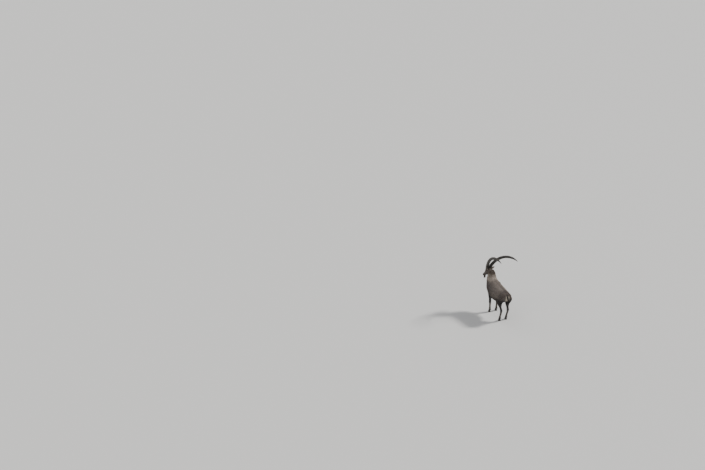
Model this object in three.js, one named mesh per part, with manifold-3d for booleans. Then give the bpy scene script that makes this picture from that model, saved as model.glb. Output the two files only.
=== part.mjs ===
// A life-size alpine ibex, a grown male that stands still with its head up and turned to its left.
// Millimetres. +Z is up, the nose points towards -Y, the animal's left is +X, and the soles are at Z = 0.
import * as THREE from "three";
import { mergeVertices } from "three/addons/utils/BufferGeometryUtils.js";
import Module from "manifold-3d";

const wasm = await Module();
wasm.setup();

const V = (x, y, z) => new THREE.Vector3(x, y, z);
const GAP = 0.3; // kept between neighbouring pieces
const SLIVER = 0.08; // edges left by a cut are dropped where that moves the surface less than this
const LEFT = 1;
const RIGHT = -1;
const SIDES = { left: LEFT, right: RIGHT };

// The trunk and neck, from the buttocks to inside the skull. Each station is one section: where its top and bottom
// lie as [y, z], its half width, and the share of its height at which it is widest.
const TRUNK = [
  { name: "buttock", top: [522, 716], bottom: [506, 618], half: 66, level: 0.5 },
  { name: "rump", top: [502, 762], bottom: [485, 576], half: 120, level: 0.52 },
  { name: "croup", top: [428, 802], bottom: [414, 536], half: 148, level: 0.54 },
  { name: "hips", top: [330, 822], bottom: [322, 490], half: 161, level: 0.5 },
  { name: "flank", top: [215, 832], bottom: [211, 446], half: 182, level: 0.47 },
  { name: "belly", top: [75, 842], bottom: [77, 410], half: 212, level: 0.46 },
  { name: "ribs", top: [-70, 858], bottom: [-70, 400], half: 216, level: 0.47 },
  { name: "girth", top: [-180, 886], bottom: [-190, 416], half: 202, level: 0.48 },
  { name: "withers", top: [-250, 912], bottom: [-305, 450], half: 186, level: 0.46 },
  { name: "breast", top: [-292, 940], bottom: [-430, 525], half: 170, level: 0.42 },
  { name: "neck base", top: [-318, 973], bottom: [-496, 636], half: 148, level: 0.44 },
  { name: "neck", top: [-335, 1014], bottom: [-518, 738], half: 132, level: 0.47 },
  { name: "upper neck", top: [-352, 1056], bottom: [-520, 828], half: 118, level: 0.5 },
  { name: "throat", top: [-384, 1086], bottom: [-508, 904], half: 104, level: 0.52 },
  { name: "nape", top: [-428, 1108], bottom: [-492, 974], half: 86, level: 0.54 },
  { name: "skull", top: [-474, 1114], bottom: [-508, 1008], half: 60, level: 0.54 },
];
const TRUNK_SIDES = 26;
const RINGS_A_STATION = 2;
const TRUNK_RIDGE = 1.12; // above 1 narrows the back towards the spine

// The neck bends to the left along BEND_LENGTH ahead of BEND_START, and the head follows it.
const HEAD_TURN = THREE.MathUtils.degToRad(25);
const BEND_START = -300;
const BEND_LENGTH = 240;
const HEAD_PITCH = THREE.MathUtils.degToRad(38);
const HEAD_TILT = THREE.MathUtils.degToRad(-9);
const HEAD_ORIGIN = V(0, -488, 1076); // the middle of the skull's back, before the bend

// The head in its own frame: the nose towards -Y, its origin at the middle of the skull's back.
const HEAD = [
  { name: "occiput", top: [36, 34], bottom: [24, -58], half: 44, level: 0.55 },
  { name: "poll", top: [4, 54], bottom: [-8, -84], half: 60, level: 0.6 },
  { name: "horn base", top: [-48, 66], bottom: [-48, -94], half: 65, level: 0.66 },
  { name: "eyes", top: [-94, 64], bottom: [-92, -88], half: 63, level: 0.7 },
  { name: "below eyes", top: [-132, 50], bottom: [-132, -78], half: 52, level: 0.62 },
  { name: "cheek", top: [-170, 36], bottom: [-170, -70], half: 43, level: 0.56 },
  { name: "muzzle", top: [-212, 24], bottom: [-212, -64], half: 38, level: 0.52 },
  { name: "lips", top: [-248, 14], bottom: [-246, -62], half: 38, level: 0.5 },
  { name: "nose", top: [-276, 4], bottom: [-270, -58], half: 34, level: 0.52 },
  { name: "tip", top: [-292, -10], bottom: [-284, -48], half: 22, level: 0.5 },
];
const HEAD_SIDES = 24;
const HEAD_BOX = 0.86; // under 1 squares the sections of the head

const EYE = { at: V(54, -100, 26), r: 17, out: V(0.93, -0.3, 0.16) };
const LID = { reach: 1.15, upper: 0.7, lower: -0.55, thick: 3.4 };
const BROW = { at: V(45, -90, 42), r: V(24, 36, 20) };
const JAW_MUSCLE = { at: V(38, -58, -38), r: V(26, 50, 46) };
const MOUTH = { front: V(0, -300, -33), corner: V(0, -204, -40), height: 2.4, deep: 4 };
const NOSTRIL = [V(12, -292, -17), V(17, -286, -8), V(24, -276, -4), V(30, -266, -8)];

// A horn leaves the skull upwards and back, and turns through HORN.turn in its own plane.
const HORN = {
  root: V(37, -58, 44),
  length: 962,
  rise: THREE.MathUtils.degToRad(75), // above the horizontal, with the head in its pose
  turn: THREE.MathUtils.degToRad(101),
  lateBend: 1.13, // above 1 bends the outer part more than the root
  spread: THREE.MathUtils.degToRad(13.5),
  lean: THREE.MathUtils.degToRad(12.8),
  depth: 46, // half sizes of the section at the root
  width: 31,
  knobs: 19,
  knobHeight: 9,
  knobbedShare: 0.86,
  ringsAKnob: 4,
  tipRings: 7,
  sides: 12,
};

const EAR = { root: V(50, -8, 22), length: 118, out: V(0.8, 0.5, 0.3), half: 27, wall: 4.5 };
const BEARD = { at: V(0, -238, -52), length: 74, locks: 12, half: 8, thick: 2.6 };
const TAIL = { root: V(0, 500, 742), tip: V(0, 556, 630), half: 21, locks: 12, lockLength: 62 };

// Legs, from inside the body down to inside the hoof. y and z place the middle of a section, deep and wide are its half
// sizes fore-and-aft and across, and x is how far it stands from the middle of the body.
const FORELEG = [
  { name: "shoulder blade", x: 104, y: -232, z: 812, deep: 66, wide: 40 },
  { name: "shoulder", x: 116, y: -290, z: 700, deep: 104, wide: 56 },
  { name: "upper arm", x: 116, y: -278, z: 600, deep: 98, wide: 54 },
  { name: "elbow", x: 112, y: -244, z: 512, deep: 78, wide: 50 },
  { name: "forearm", x: 108, y: -245, z: 430, deep: 54, wide: 42 },
  { name: "lower forearm", x: 104, y: -248, z: 356, deep: 39, wide: 33 },
  { name: "knee", x: 102, y: -252, z: 296, deep: 37, wide: 34 },
  { name: "under knee", x: 101, y: -246, z: 246, deep: 29, wide: 27 },
  { name: "cannon", x: 100, y: -246, z: 182, deep: 26, wide: 24 },
  { name: "over fetlock", x: 99, y: -248, z: 130, deep: 28, wide: 26 },
  { name: "fetlock", x: 99, y: -251, z: 100, deep: 31, wide: 29 },
  { name: "pastern", x: 99, y: -264, z: 66, deep: 26, wide: 28 },
  { name: "coronet", x: 99, y: -276, z: 40, deep: 31, wide: 31 },
  { name: "in hoof", x: 99, y: -284, z: 16, deep: 28, wide: 28 },
];
const HINDLEG = [
  { name: "pelvis", x: 76, y: 403, z: 712, deep: 100, wide: 56 },
  { name: "upper thigh", x: 98, y: 390, z: 640, deep: 126, wide: 69 },
  { name: "thigh", x: 107, y: 358, z: 566, deep: 122, wide: 68 },
  { name: "stifle", x: 111, y: 320, z: 498, deep: 102, wide: 60 },
  { name: "gaskin", x: 108, y: 326, z: 436, deep: 71, wide: 47 },
  { name: "lower gaskin", x: 102, y: 357, z: 380, deep: 47, wide: 34 },
  { name: "over hock", x: 98, y: 388, z: 342, deep: 38, wide: 29 },
  { name: "hock", x: 96, y: 407, z: 304, deep: 39, wide: 31 },
  { name: "under hock", x: 96, y: 403, z: 256, deep: 30, wide: 26 },
  { name: "cannon", x: 96, y: 384, z: 188, deep: 26, wide: 24 },
  { name: "over fetlock", x: 96, y: 366, z: 132, deep: 28, wide: 26 },
  { name: "fetlock", x: 96, y: 356, z: 101, deep: 31, wide: 29 },
  { name: "pastern", x: 96, y: 341, z: 66, deep: 26, wide: 28 },
  { name: "coronet", x: 96, y: 328, z: 40, deep: 31, wide: 31 },
  { name: "in hoof", x: 96, y: 320, z: 16, deep: 28, wide: 28 },
];
const LEG_SIDES = 12;
const RINGS_A_JOINT = 2;
const HOOF_TOP = 40; // height of the coronet's middle above the sole
const HOOF_SLOPE = 0.34; // how far the coronet drops for each millimetre back
const CLAW = { front: 44, back: 36, half: 13.5, cleft: 3.5, soleFront: 53, soleBack: 40, sides: 14 };
const DEWCLAW = { back: 27, out: 15, z: 84, length: 25, half: 8.5 };

// Where each leg leaves the body and where it is parted above the knee or hock: a point on the plane, as [y, z], and how
// far the plane climbs towards the front.
const FORE_CUTS = { body: { at: [-250, 545], climb: 0.35 }, joint: { at: [-250, 336], climb: 0 } };
const HIND_CUTS = { body: { at: [345, 580], climb: 0.2 }, joint: { at: [394, 350], climb: -0.35 } };
const NECK_CUT = { at: [-352, 760], normal: V(0, -0.93, 0.36) };
// The head ends behind the nape and under the jaw; both planes pass through the throat, in the head's frame.
const HEAD_CUT = { at: V(0, -58, -99), behind: V(0, -0.78, 0.63), under: V(0, -0.24, 0.97) };

// How far each foot stands ahead of (+) or behind (-) the plain stance, and out from it.
const STANCE = {
  fore_left: { ahead: -12, out: 4 },
  fore_right: { ahead: 22, out: 0 },
  hind_left: { ahead: 10, out: 2 },
  hind_right: { ahead: 44, out: 0 },
};

const COAT = new THREE.MeshStandardMaterial({ color: 0x6f645c, roughness: 0.95 });
const DARK_COAT = new THREE.MeshStandardMaterial({ color: 0x34302d, roughness: 0.95 });
const HORN_MATERIAL = new THREE.MeshStandardMaterial({ color: 0x4b4337, roughness: 0.55 });
const HOOF_MATERIAL = new THREE.MeshStandardMaterial({ color: 0x2a2624, roughness: 0.5 });
const EYE_MATERIAL = new THREE.MeshStandardMaterial({ color: 0x7a5a24, roughness: 0.08 });

// Solids: closed rings of points, boolean joins and cuts.

/** A closed geometry through rings of equally many points, with a fan over each end. */
function loft(rings) {
  const sides = rings[0].length;
  const points = rings.flat();
  const faces = [];
  for (let r = 0; r < rings.length - 1; r++)
    for (let k = 0; k < sides; k++) {
      const a = r * sides + k;
      const b = r * sides + ((k + 1) % sides);
      faces.push(a, b, a + sides, b, b + sides, a + sides);
    }
  for (const [ring, start, flip] of [
    [rings[0], 0, true],
    [rings.at(-1), (rings.length - 1) * sides, false],
  ]) {
    const middle = points.push(ring.reduce((sum, p) => sum.add(p), V(0, 0, 0)).divideScalar(sides)) - 1;
    for (let k = 0; k < sides; k++) {
      const a = start + k;
      const b = start + ((k + 1) % sides);
      faces.push(...(flip ? [b, a, middle] : [a, b, middle]));
    }
  }
  return new THREE.BufferGeometry().setFromPoints(points).setIndex(faces);
}

/** A closed three.js geometry as a solid, turned the right way out, after an optional matrix. */
function solid(geometry, matrix = new THREE.Matrix4()) {
  const bare = new THREE.BufferGeometry().setAttribute("position", geometry.getAttribute("position").clone());
  if (geometry.index) bare.setIndex(geometry.index);
  const merged = mergeVertices(bare.applyMatrix4(matrix), 1e-3);
  const triangles = [];
  const index = merged.index.array;
  for (let i = 0; i < index.length; i += 3) {
    const [a, b, c] = [index[i], index[i + 1], index[i + 2]];
    if (a !== b && b !== c && c !== a) triangles.push(a, b, c);
  }
  const build = (tri) =>
    new wasm.Manifold(
      new wasm.Mesh({
        numProp: 3,
        vertProperties: merged.getAttribute("position").array,
        triVerts: new Uint32Array(tri),
      }),
    );
  const made = build(triangles);
  return made.volume() > 0 ? made : build(triangles.reverse());
}

/** The solids joined into one. */
const joined = (solids) => solids.reduce((sum, s) => sum.add(s));

/** The largest closed body of a solid, without loose scraps. */
const largest = (s) => s.decompose().reduce((a, b) => (a.volume() > b.volume() ? a : b));

/** The part of a solid ahead of the plane through `at`, on the side that `normal` points to, less `gap`. */
function ahead(s, at, normal, gap = GAP / 2) {
  const n = normal.clone().normalize();
  return s.trimByPlane(n.toArray(), n.dot(at) + gap);
}

/** A solid as a named mesh, in the frame of `matrix` if the piece is nested in a turned group. */
function piece(name, s, material, matrix = new THREE.Matrix4()) {
  const mesh = largest(s).simplify(SLIVER).getMesh();
  const count = mesh.numProp;
  const points = new Float32Array(mesh.numVert * 3);
  for (let i = 0; i < mesh.numVert; i++)
    points.set(mesh.vertProperties.subarray(i * count, i * count + 3), i * 3);
  const geometry = new THREE.BufferGeometry()
    .setAttribute("position", new THREE.BufferAttribute(points, 3))
    .setIndex(new THREE.BufferAttribute(mesh.triVerts, 1))
    .applyMatrix4(matrix.clone().invert());
  geometry.computeVertexNormals();
  const made = new THREE.Mesh(geometry, material);
  made.name = name;
  return made;
}

/** A smooth run of values through lists of up to three numbers, read at 0 to 1. */
function run(rows) {
  const curve = new THREE.CatmullRomCurve3(rows.map(([a, b = 0, c = 0]) => V(a, b, c)));
  return (t) => curve.getPoint(t);
}

/** The points of one section round `middle`: `up`, `down` and `side` are half axes, `box` and `ridge` bend its shape. */
function section({ middle, up, down, side, count, box = 1, ridge = 1 }) {
  return Array.from({ length: count }, (_, k) => {
    const angle = (2 * Math.PI * k) / count;
    const [c, s] = [Math.cos(angle), Math.sin(angle)];
    const across = Math.sign(s) * Math.abs(s) ** (c > 0 ? box * ridge : box);
    return middle
      .clone()
      .addScaledVector(c > 0 ? up : down, Math.abs(c) ** box)
      .addScaledVector(side, across);
  });
}

/** A body made from stations with a top and a bottom point, its sides `grow` further out. */
function profileBody(stations, { sides, steps, grow = 0, box = 1, ridge = 1, bend = (p) => p }) {
  const [top, bottom] = [run(stations.map((s) => s.top)), run(stations.map((s) => s.bottom))];
  const width = run(stations.map((s) => [s.half, s.level]));
  const count = (stations.length - 1) * steps;
  const rings = Array.from({ length: count + 1 }, (_, i) => {
    const t = i / count;
    const [high, low] = [top(t), bottom(t)].map((p) => V(0, p.x, p.y));
    const lift = high.clone().sub(low).setLength(grow);
    high.add(lift);
    low.sub(lift);
    const middle = low.clone().lerp(high, width(t).y);
    return section({
      middle,
      up: high.clone().sub(middle),
      down: low.clone().sub(middle),
      side: V(width(t).x + grow, 0, 0),
      count: sides,
      box,
      ridge,
    }).map(bend);
  });
  return solid(loft(rings));
}

/** A limb along a path. `side` is its constant sideways direction; with `axis` its sections all face that way. */
function limb(stations, { side, sides, steps, grow = 0, box = 1, axis }) {
  const path = new THREE.CatmullRomCurve3(stations.map((s) => s.at));
  const size = run(stations.map((s) => [s.deep, s.wide]));
  const count = (stations.length - 1) * steps;
  const rings = Array.from({ length: count + 1 }, (_, i) => {
    const t = i / count;
    const tangent = axis ?? path.getTangent(t);
    const end = i === 0 ? -grow : i === count ? grow : 0;
    const middle = path.getPoint(t).addScaledVector(tangent, end);
    const back = side.clone().cross(tangent).normalize();
    const deep = size(t).x + grow;
    return section({
      middle,
      up: back.clone().multiplyScalar(deep),
      down: back.clone().multiplyScalar(-deep),
      side: side.clone().multiplyScalar(size(t).y + grow),
      count: sides,
      box,
    });
  });
  return solid(loft(rings));
}

/** An ellipsoid of radii `r` at `at`. */
function egg(at, r, count = 12) {
  const matrix = new THREE.Matrix4().makeScale(r.x, r.y, r.z).setPosition(at);
  return solid(new THREE.SphereGeometry(1, count, Math.ceil(count * 0.65)), matrix);
}

/** A point or direction on the left, mirrored for the right side. */
const mirrored = (v, side) => V(v.x * side, v.y, v.z);

/** A flat, tapered lock of hair that bends from `out` towards `lie` and ends in a blunt point. */
function lock(root, out, lie, { length, half, thick, side }) {
  const stations = [0, 0.35, 0.7, 1].map((share) => {
    const taper = Math.sqrt(1 - 0.93 * share ** 2);
    return {
      at: root
        .clone()
        .addScaledVector(out, length * share * (1 - share / 2))
        .addScaledVector(lie, (length * share ** 2) / 2 + (length * share) / 3),
      deep: thick * taper,
      wide: half * taper,
    };
  });
  return limb(stations, { side, sides: 6, steps: 1 });
}

// The body: trunk, neck and legs.

/** Bends the neck to the left: a point ahead of BEND_START turns with its distance, and further ahead rides straight on. */
function bend(point) {
  const distance = BEND_START - point.y;
  if (distance <= 0) return point.clone();
  const turn = HEAD_TURN * Math.min(1, distance / BEND_LENGTH);
  const radius = BEND_LENGTH / HEAD_TURN;
  const straight = Math.max(0, distance - BEND_LENGTH);
  return V(
    radius * (1 - Math.cos(turn)) + straight * Math.sin(turn) + point.x * Math.cos(turn),
    BEND_START - radius * Math.sin(turn) - straight * Math.cos(turn) + point.x * Math.sin(turn),
    point.z,
  );
}

const trunk = (grow = 0) =>
  profileBody(TRUNK, { sides: TRUNK_SIDES, steps: RINGS_A_STATION, grow, ridge: TRUNK_RIDGE, bend });

/** The stations of one leg, with its lower end moved to where the foot stands. */
function legStations(leg, side, { ahead: forward, out }) {
  const topZ = leg[1].z;
  return leg.map(({ x, y, z, deep, wide }) => {
    const share = Math.min(1, Math.max(0, 1 - z / topZ) * 1.25);
    return { at: V(side * (x + out * share), y - forward * share, z), deep, wide };
  });
}

const legSolid = (stations, grow = 0) =>
  limb(stations, {
    side: V(1, 0, 0),
    axis: V(0, 0, -1),
    sides: LEG_SIDES,
    steps: RINGS_A_JOINT,
    grow,
    box: 0.94,
  });

/** The plane that parts a leg, as a point and an upward normal. */
const legPlane = ({ at: [y, z], climb }) => ({ at: V(0, y, z), normal: V(0, climb, 1) });

/** One claw of a hoof: D-shaped rings from the sole to the coronet, flat towards the cleft. */
function claw(foot, side) {
  const { front, back, half, cleft, soleFront, soleBack, sides } = CLAW;
  const rings = [0, 0.3, 0.7, 1].map((share) => {
    const [reachFront, reachBack] = [
      THREE.MathUtils.lerp(soleFront, front - 10, share ** 0.8),
      THREE.MathUtils.lerp(soleBack, back - 4, share),
    ];
    return Array.from({ length: sides }, (_, k) => {
      const angle = (2 * Math.PI * k) / sides;
      const [c, s] = [Math.cos(angle), Math.sin(angle)];
      const y = share * 7 - c * (c > 0 ? reachFront : reachBack);
      const point = s > 0 ? half * 2 * s ** 0.75 : 0;
      const outward = cleft / 2 + point * (c > 0 ? 1 - 0.35 * c ** 2 : 1);
      return V(foot.x + side * outward, foot.y + y, share * (HOOF_TOP - GAP - HOOF_SLOPE * y));
    });
  });
  return solid(loft(rings));
}

/** A dewclaw behind the fetlock, pointing down and back. */
function dewclaw(foot, side, grow = 0) {
  const { back, out, z, length, half } = DEWCLAW;
  const root = V(foot.x + side * out, foot.y + back - 10, z + 8);
  const stations = [0, 0.5, 1].map((share) => ({
    at: root.clone().add(V(side * 3 * share, length * 0.75 * share, -length * share)),
    deep: half * (1 - 0.45 * share ** 2),
    wide: half * (1 - 0.45 * share ** 2),
  }));
  return limb(stations, { side: V(1, 0, 0), sides: 8, steps: 1, grow });
}

/** One leg: its solids from the body to the coronet, its claws and its dewclaws. */
function makeLeg(kind, sideName) {
  const side = SIDES[sideName];
  const [leg, cuts] = kind === "fore" ? [FORELEG, FORE_CUTS] : [HINDLEG, HIND_CUTS];
  const stance = STANCE[`${kind}_${sideName}`];
  const stations = legStations(leg, side, stance);
  const [body, joint] = [legPlane(cuts.body), legPlane(cuts.joint)];
  joint.at.y -= stance.ahead;
  const [coronet, fetlock] = ["coronet", "fetlock"].map((name) => stations[leg.findIndex((s) => s.name === name)].at);
  const down = (plane) => plane.normal.clone().negate();
  const whole = legSolid(stations);
  const below = ahead(whole, body.at, down(body));
  const coronetPlane = { at: V(coronet.x, coronet.y, HOOF_TOP), normal: V(0, HOOF_SLOPE, 1) };
  const dewclaws = { inner: -side, outer: side };
  const claws = { inner: -side, outer: side };
  let shank = ahead(ahead(below, joint.at, down(joint)), coronetPlane.at, coronetPlane.normal);
  for (const to of Object.values(dewclaws)) shank = shank.subtract(dewclaw(fetlock, to, GAP));
  const names = `${kind}leg_${sideName}`;
  return {
    whole,
    grown: ahead(legSolid(stations, GAP), body.at, down(body), -GAP / 2),
    meshes: [
      piece(`${names}_upper`, ahead(below, joint.at, joint.normal), COAT),
      piece(`${names}_lower`, shank, DARK_COAT),
      ...Object.entries(claws).map(([name, to]) => piece(`hoof_${kind}_${sideName}_${name}`, claw(coronet, to), HOOF_MATERIAL)),
      ...Object.entries(dewclaws).map(([name, to]) =>
        piece(`dewclaw_${kind}_${sideName}_${name}`, dewclaw(fetlock, to), HOOF_MATERIAL),
      ),
    ],
  };
}

// The head, in its own frame.

/** The skull and muzzle without its cuts, its sides `grow` further out. */
function headSolid(grow = 0) {
  const swell = V(grow, grow, grow);
  const forms = [profileBody(HEAD, { sides: HEAD_SIDES, steps: RINGS_A_STATION, grow, box: HEAD_BOX })];
  for (const side of Object.values(SIDES))
    for (const form of [BROW, JAW_MUSCLE]) forms.push(egg(mirrored(form.at, side), form.r.clone().add(swell)));
  return joined(forms);
}

/** The two lids of one eye, as rolls that follow the eyeball and meet at its corners. */
function lids(side) {
  const out = mirrored(EYE.out, side).normalize();
  const up = V(0, 0, 1).addScaledVector(out, -out.z).normalize();
  const along = up.clone().cross(out);
  const at = mirrored(EYE.at, side);
  return [LID.upper, LID.lower].map((open) => {
    const stations = [-1, -0.6, 0, 0.6, 1].map((u) => {
      const direction = out
        .clone()
        .addScaledVector(along, LID.reach * u)
        .addScaledVector(up, open * (1 - u * u))
        .normalize();
      const thick = LID.thick * (1 - 0.35 * u * u);
      return { at: at.clone().addScaledVector(direction, EYE.r + 0.5), deep: thick, wide: thick };
    });
    return limb(stations, { side: up, sides: 6, steps: 2 });
  });
}

/** The slit between the lips, round the front of the muzzle. */
function mouthSlit() {
  const run = MOUTH.front.clone().sub(MOUTH.corner);
  const plate = new THREE.BoxGeometry(160, run.length() + 40, MOUTH.height);
  const matrix = new THREE.Matrix4()
    .makeRotationX(Math.atan2(run.z, run.y) + Math.PI)
    .setPosition(MOUTH.corner.clone().addScaledVector(run, 0.5).add(V(0, -20, 0)));
  return solid(plate, matrix).subtract(headSolid(-MOUTH.deep).translate(0, MOUTH.deep, 0));
}

/** A nostril's slit, open at the front and curling outwards. */
const nostril = (side) =>
  limb(
    NOSTRIL.map((p, i) => ({ at: mirrored(p, side), deep: 3.6 - 0.6 * i, wide: 4.6 - 0.8 * i })),
    { side: V(0, 0, 1), sides: 6, steps: 1 },
  );

/** A horn's stations and its constant sideways direction, in the head's frame. */
function hornLine(side) {
  const unpitch = new THREE.Matrix4().makeRotationX(-HEAD_PITCH);
  const plane = new THREE.Matrix4()
    .makeRotationZ(-side * HORN.spread)
    .multiply(new THREE.Matrix4().makeRotationY(side * HORN.lean));
  const turned = (v) => v.applyMatrix4(plane).applyMatrix4(unpitch);
  const steps = 40;
  const at = mirrored(HORN.root, side);
  const points = [at.clone()];
  for (let i = 0; i < steps; i++) {
    const elevation = HORN.rise - HORN.turn * ((i + 0.5) / steps) ** HORN.lateBend;
    at.addScaledVector(turned(V(0, Math.cos(elevation), Math.sin(elevation))), HORN.length / steps);
    points.push(at.clone());
  }
  return { points, side: turned(V(1, 0, 0)) };
}

/** A horn with cross ridges on its front face, a smooth tip and a root inside the skull. */
function horn(side, grow = 0) {
  const { points, side: across } = hornLine(side);
  const path = new THREE.CatmullRomCurve3(points);
  const { knobs, ringsAKnob, knobbedShare, tipRings, sides } = HORN;
  const marks = [];
  for (let k = 0; k < knobs * ringsAKnob; k++) marks.push((knobbedShare * k) / (knobs * ringsAKnob));
  for (let k = 0; k <= tipRings; k++) marks.push(knobbedShare + ((1 - knobbedShare) * k) / tipRings);
  const shape = [0, 0.55, 1, 0.4]; // one ridge: valley, rise, crest, fall towards the tip
  const rings = marks.map((t, i) => {
    const knobbed = t < knobbedShare;
    const taper = 1 - 0.46 * t ** 1.15 - 0.44 * Math.max(0, (t - 0.72) / 0.28) ** 2;
    const ridge = knobbed ? shape[i % ringsAKnob] * HORN.knobHeight * (1 - 0.55 * t) : 0;
    const front = across.clone().cross(path.getTangent(t)).normalize();
    const deep = HORN.depth * taper + grow;
    return section({
      middle: path.getPoint(t),
      up: front.clone().multiplyScalar(deep + ridge),
      down: front.clone().multiplyScalar(-deep * 0.92),
      side: across.clone().multiplyScalar(HORN.width * taper + grow + ridge * 0.22),
      count: sides,
      box: 0.82,
    });
  });
  return solid(loft(rings));
}

/** An ear: a leaf with a cup in its front face. */
function ear(side) {
  const out = mirrored(EAR.out, side).normalize();
  const front = V(0, -1, 0.25).addScaledVector(out, -V(0, -1, 0.25).dot(out)).normalize();
  const across = out.clone().cross(front).normalize();
  const root = mirrored(EAR.root, side);
  const leaf = (shares, widths, depths, forward) =>
    limb(
      shares.map((share, i) => ({
        at: root
          .clone()
          .addScaledVector(out, EAR.length * share)
          .addScaledVector(front, forward + 9 * Math.sin(Math.PI * share)),
        deep: depths[i],
        wide: widths[i],
      })),
      { side: across, sides: 12, steps: 2 },
    );
  const { half, wall } = EAR;
  const outer = leaf([-0.12, 0.12, 0.35, 0.6, 0.85, 1], [15, 19, half, half - 3, 14, 3], [15, 15, 13, 10, 7, 2.5], 0);
  const cup = leaf([0.16, 0.36, 0.6, 0.84, 0.95], [6, half - wall, half - 3 - wall, 9, 2], [7, 14, 12, 8, 3], 9);
  return outer.subtract(cup);
}

/** The beard: a small core under the chin with locks that hang straight down in the head's pose. */
function beard() {
  const down = V(0, -Math.sin(HEAD_PITCH), -Math.cos(HEAD_PITCH));
  const back = V(0, Math.cos(HEAD_PITCH), -Math.sin(HEAD_PITCH));
  const core = egg(BEARD.at, V(17, 24, 15), 8);
  const locks = Array.from({ length: BEARD.locks }, (_, i) => {
    const [row, place] = [Math.floor(i / 4), (i % 4) - 1.5];
    const root = BEARD.at.clone().add(V(place * 5.6, 14 - row * 13, -4));
    const out = down.clone().add(V(place * 0.08, 0, 0));
    const length = BEARD.length * (1 - 0.08 * Math.abs(place) - 0.1 * row + 0.05 * ((i * 7) % 3));
    return lock(root, out.multiplyScalar(0.8), back.clone().multiplyScalar(0.25), {
      length,
      half: BEARD.half,
      thick: BEARD.thick,
      side: V(1, 0, 0),
    });
  });
  return joined([core, ...locks]).subtract(headSolid(GAP));
}

/** The tail: a short core that hangs, under overlapping locks. */
function tail(body) {
  const { root, tip, half, locks, lockLength } = TAIL;
  const line = tip.clone().sub(root);
  const lie = line.clone().normalize();
  const stations = [-0.35, 0, 0.35, 0.7, 0.95].map((share) => ({
    at: root.clone().addScaledVector(line, share),
    deep: half * (1 - 0.55 * Math.max(0, share) ** 2) * 0.7,
    wide: half * (1 - 0.5 * Math.max(0, share) ** 2),
  }));
  const pieces = [limb(stations, { side: V(1, 0, 0), sides: 10, steps: 1 })];
  for (let i = 0; i < locks; i++) {
    const angle = (2 * Math.PI * (i + 0.5 * (i % 2))) / 7;
    const share = 0.3 + (0.42 * i) / locks;
    const out = V(Math.sin(angle), 0.6 * Math.cos(angle), 0.35 * Math.cos(angle));
    const at = root.clone().addScaledVector(line, share).addScaledVector(out, half * 0.3);
    pieces.push(
      lock(at, out.clone().multiplyScalar(0.22), lie.clone().multiplyScalar(1.15), {
        length: lockLength * (1 - 0.1 * (i % 3)),
        half: 8,
        thick: 3,
        side: V(Math.cos(angle), -0.6 * Math.sin(angle), 0).normalize(),
      }),
    );
  }
  return joined(pieces).subtract(body);
}

// The whole animal.

const headGroup = new THREE.Group();
headGroup.position.copy(bend(HEAD_ORIGIN));
headGroup.rotation.set(HEAD_PITCH, HEAD_TILT, HEAD_TURN, "ZXY");
headGroup.updateMatrix();
const toBody = headGroup.matrix;

/** A solid of the head's frame, placed on the body. */
const placed = (s) => s.transform(toBody.elements);

const legs = ["fore", "hind"].flatMap((kind) => Object.keys(SIDES).map((side) => makeLeg(kind, side)));
const flesh = joined([trunk(), placed(headSolid()), ...legs.map((leg) => leg.whole)]);
const grownBody = joined([trunk(GAP), ...legs.map((leg) => leg.grown)]);

const throat = HEAD_CUT.at.clone().applyMatrix4(toBody);
const [behind, under] = [HEAD_CUT.behind, HEAD_CUT.under].map((n) => n.clone().transformDirection(toBody));
const neckAt = bend(V(0, ...NECK_CUT.at));
const forward = ahead(flesh, neckAt, NECK_CUT.normal);
const neck = joined([behind, under].map((n) => ahead(forward, throat, n.clone().negate())));
const torso = ahead(flesh, neckAt, NECK_CUT.normal.clone().negate()).subtract(joined(legs.map((leg) => leg.grown)));

let head = ahead(ahead(forward, throat, behind), throat, under).transform(toBody.clone().invert().elements);
head = head.add(joined([...lids(LEFT), ...lids(RIGHT)]));
head = head.subtract(mouthSlit());
const headGrown = headSolid(GAP).add(trunk(2 * GAP).transform(toBody.clone().invert().elements));
const ibex = new THREE.Group();
for (const [name, side] of Object.entries(SIDES)) {
  const eyeAt = mirrored(EYE.at, side);
  head = head.subtract(egg(eyeAt, V(1, 1, 1).multiplyScalar(EYE.r + GAP), 14)).subtract(nostril(side));
  const eye = new THREE.Mesh(new THREE.SphereGeometry(EYE.r, 14, 9), EYE_MATERIAL);
  eye.name = `eye_${name}`;
  eye.position.copy(eyeAt);
  headGroup.add(
    eye,
    piece(`horn_${name}`, horn(side).subtract(headGrown), HORN_MATERIAL),
    piece(`ear_${name}`, ear(side).subtract(headGrown).subtract(horn(side, GAP)), COAT),
  );
}
headGroup.add(piece("head", head, COAT), piece("beard", beard(), DARK_COAT));

ibex.add(
  piece("torso", torso, COAT),
  piece("neck", neck, COAT),
  piece("tail", tail(grownBody), DARK_COAT),
  headGroup,
  ...legs.flatMap((leg) => leg.meshes),
);

// The origin is on the floor, under the middle of the animal's box.
const box = new THREE.Box3().setFromObject(ibex, true);
ibex.position.set(-(box.min.x + box.max.x) / 2, -(box.min.y + box.max.y) / 2, -box.min.z);

export default ibex;
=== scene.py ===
"""A life-size alpine ibex ram: skin, a coat of hair tufts, ridged horns, eyes, ears, hooves and beard."""

import itertools
import logging
import math
from dataclasses import dataclass, field
from enum import Enum

import bmesh
import bpy
import numpy as np
from mathutils import Matrix, Vector


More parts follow.
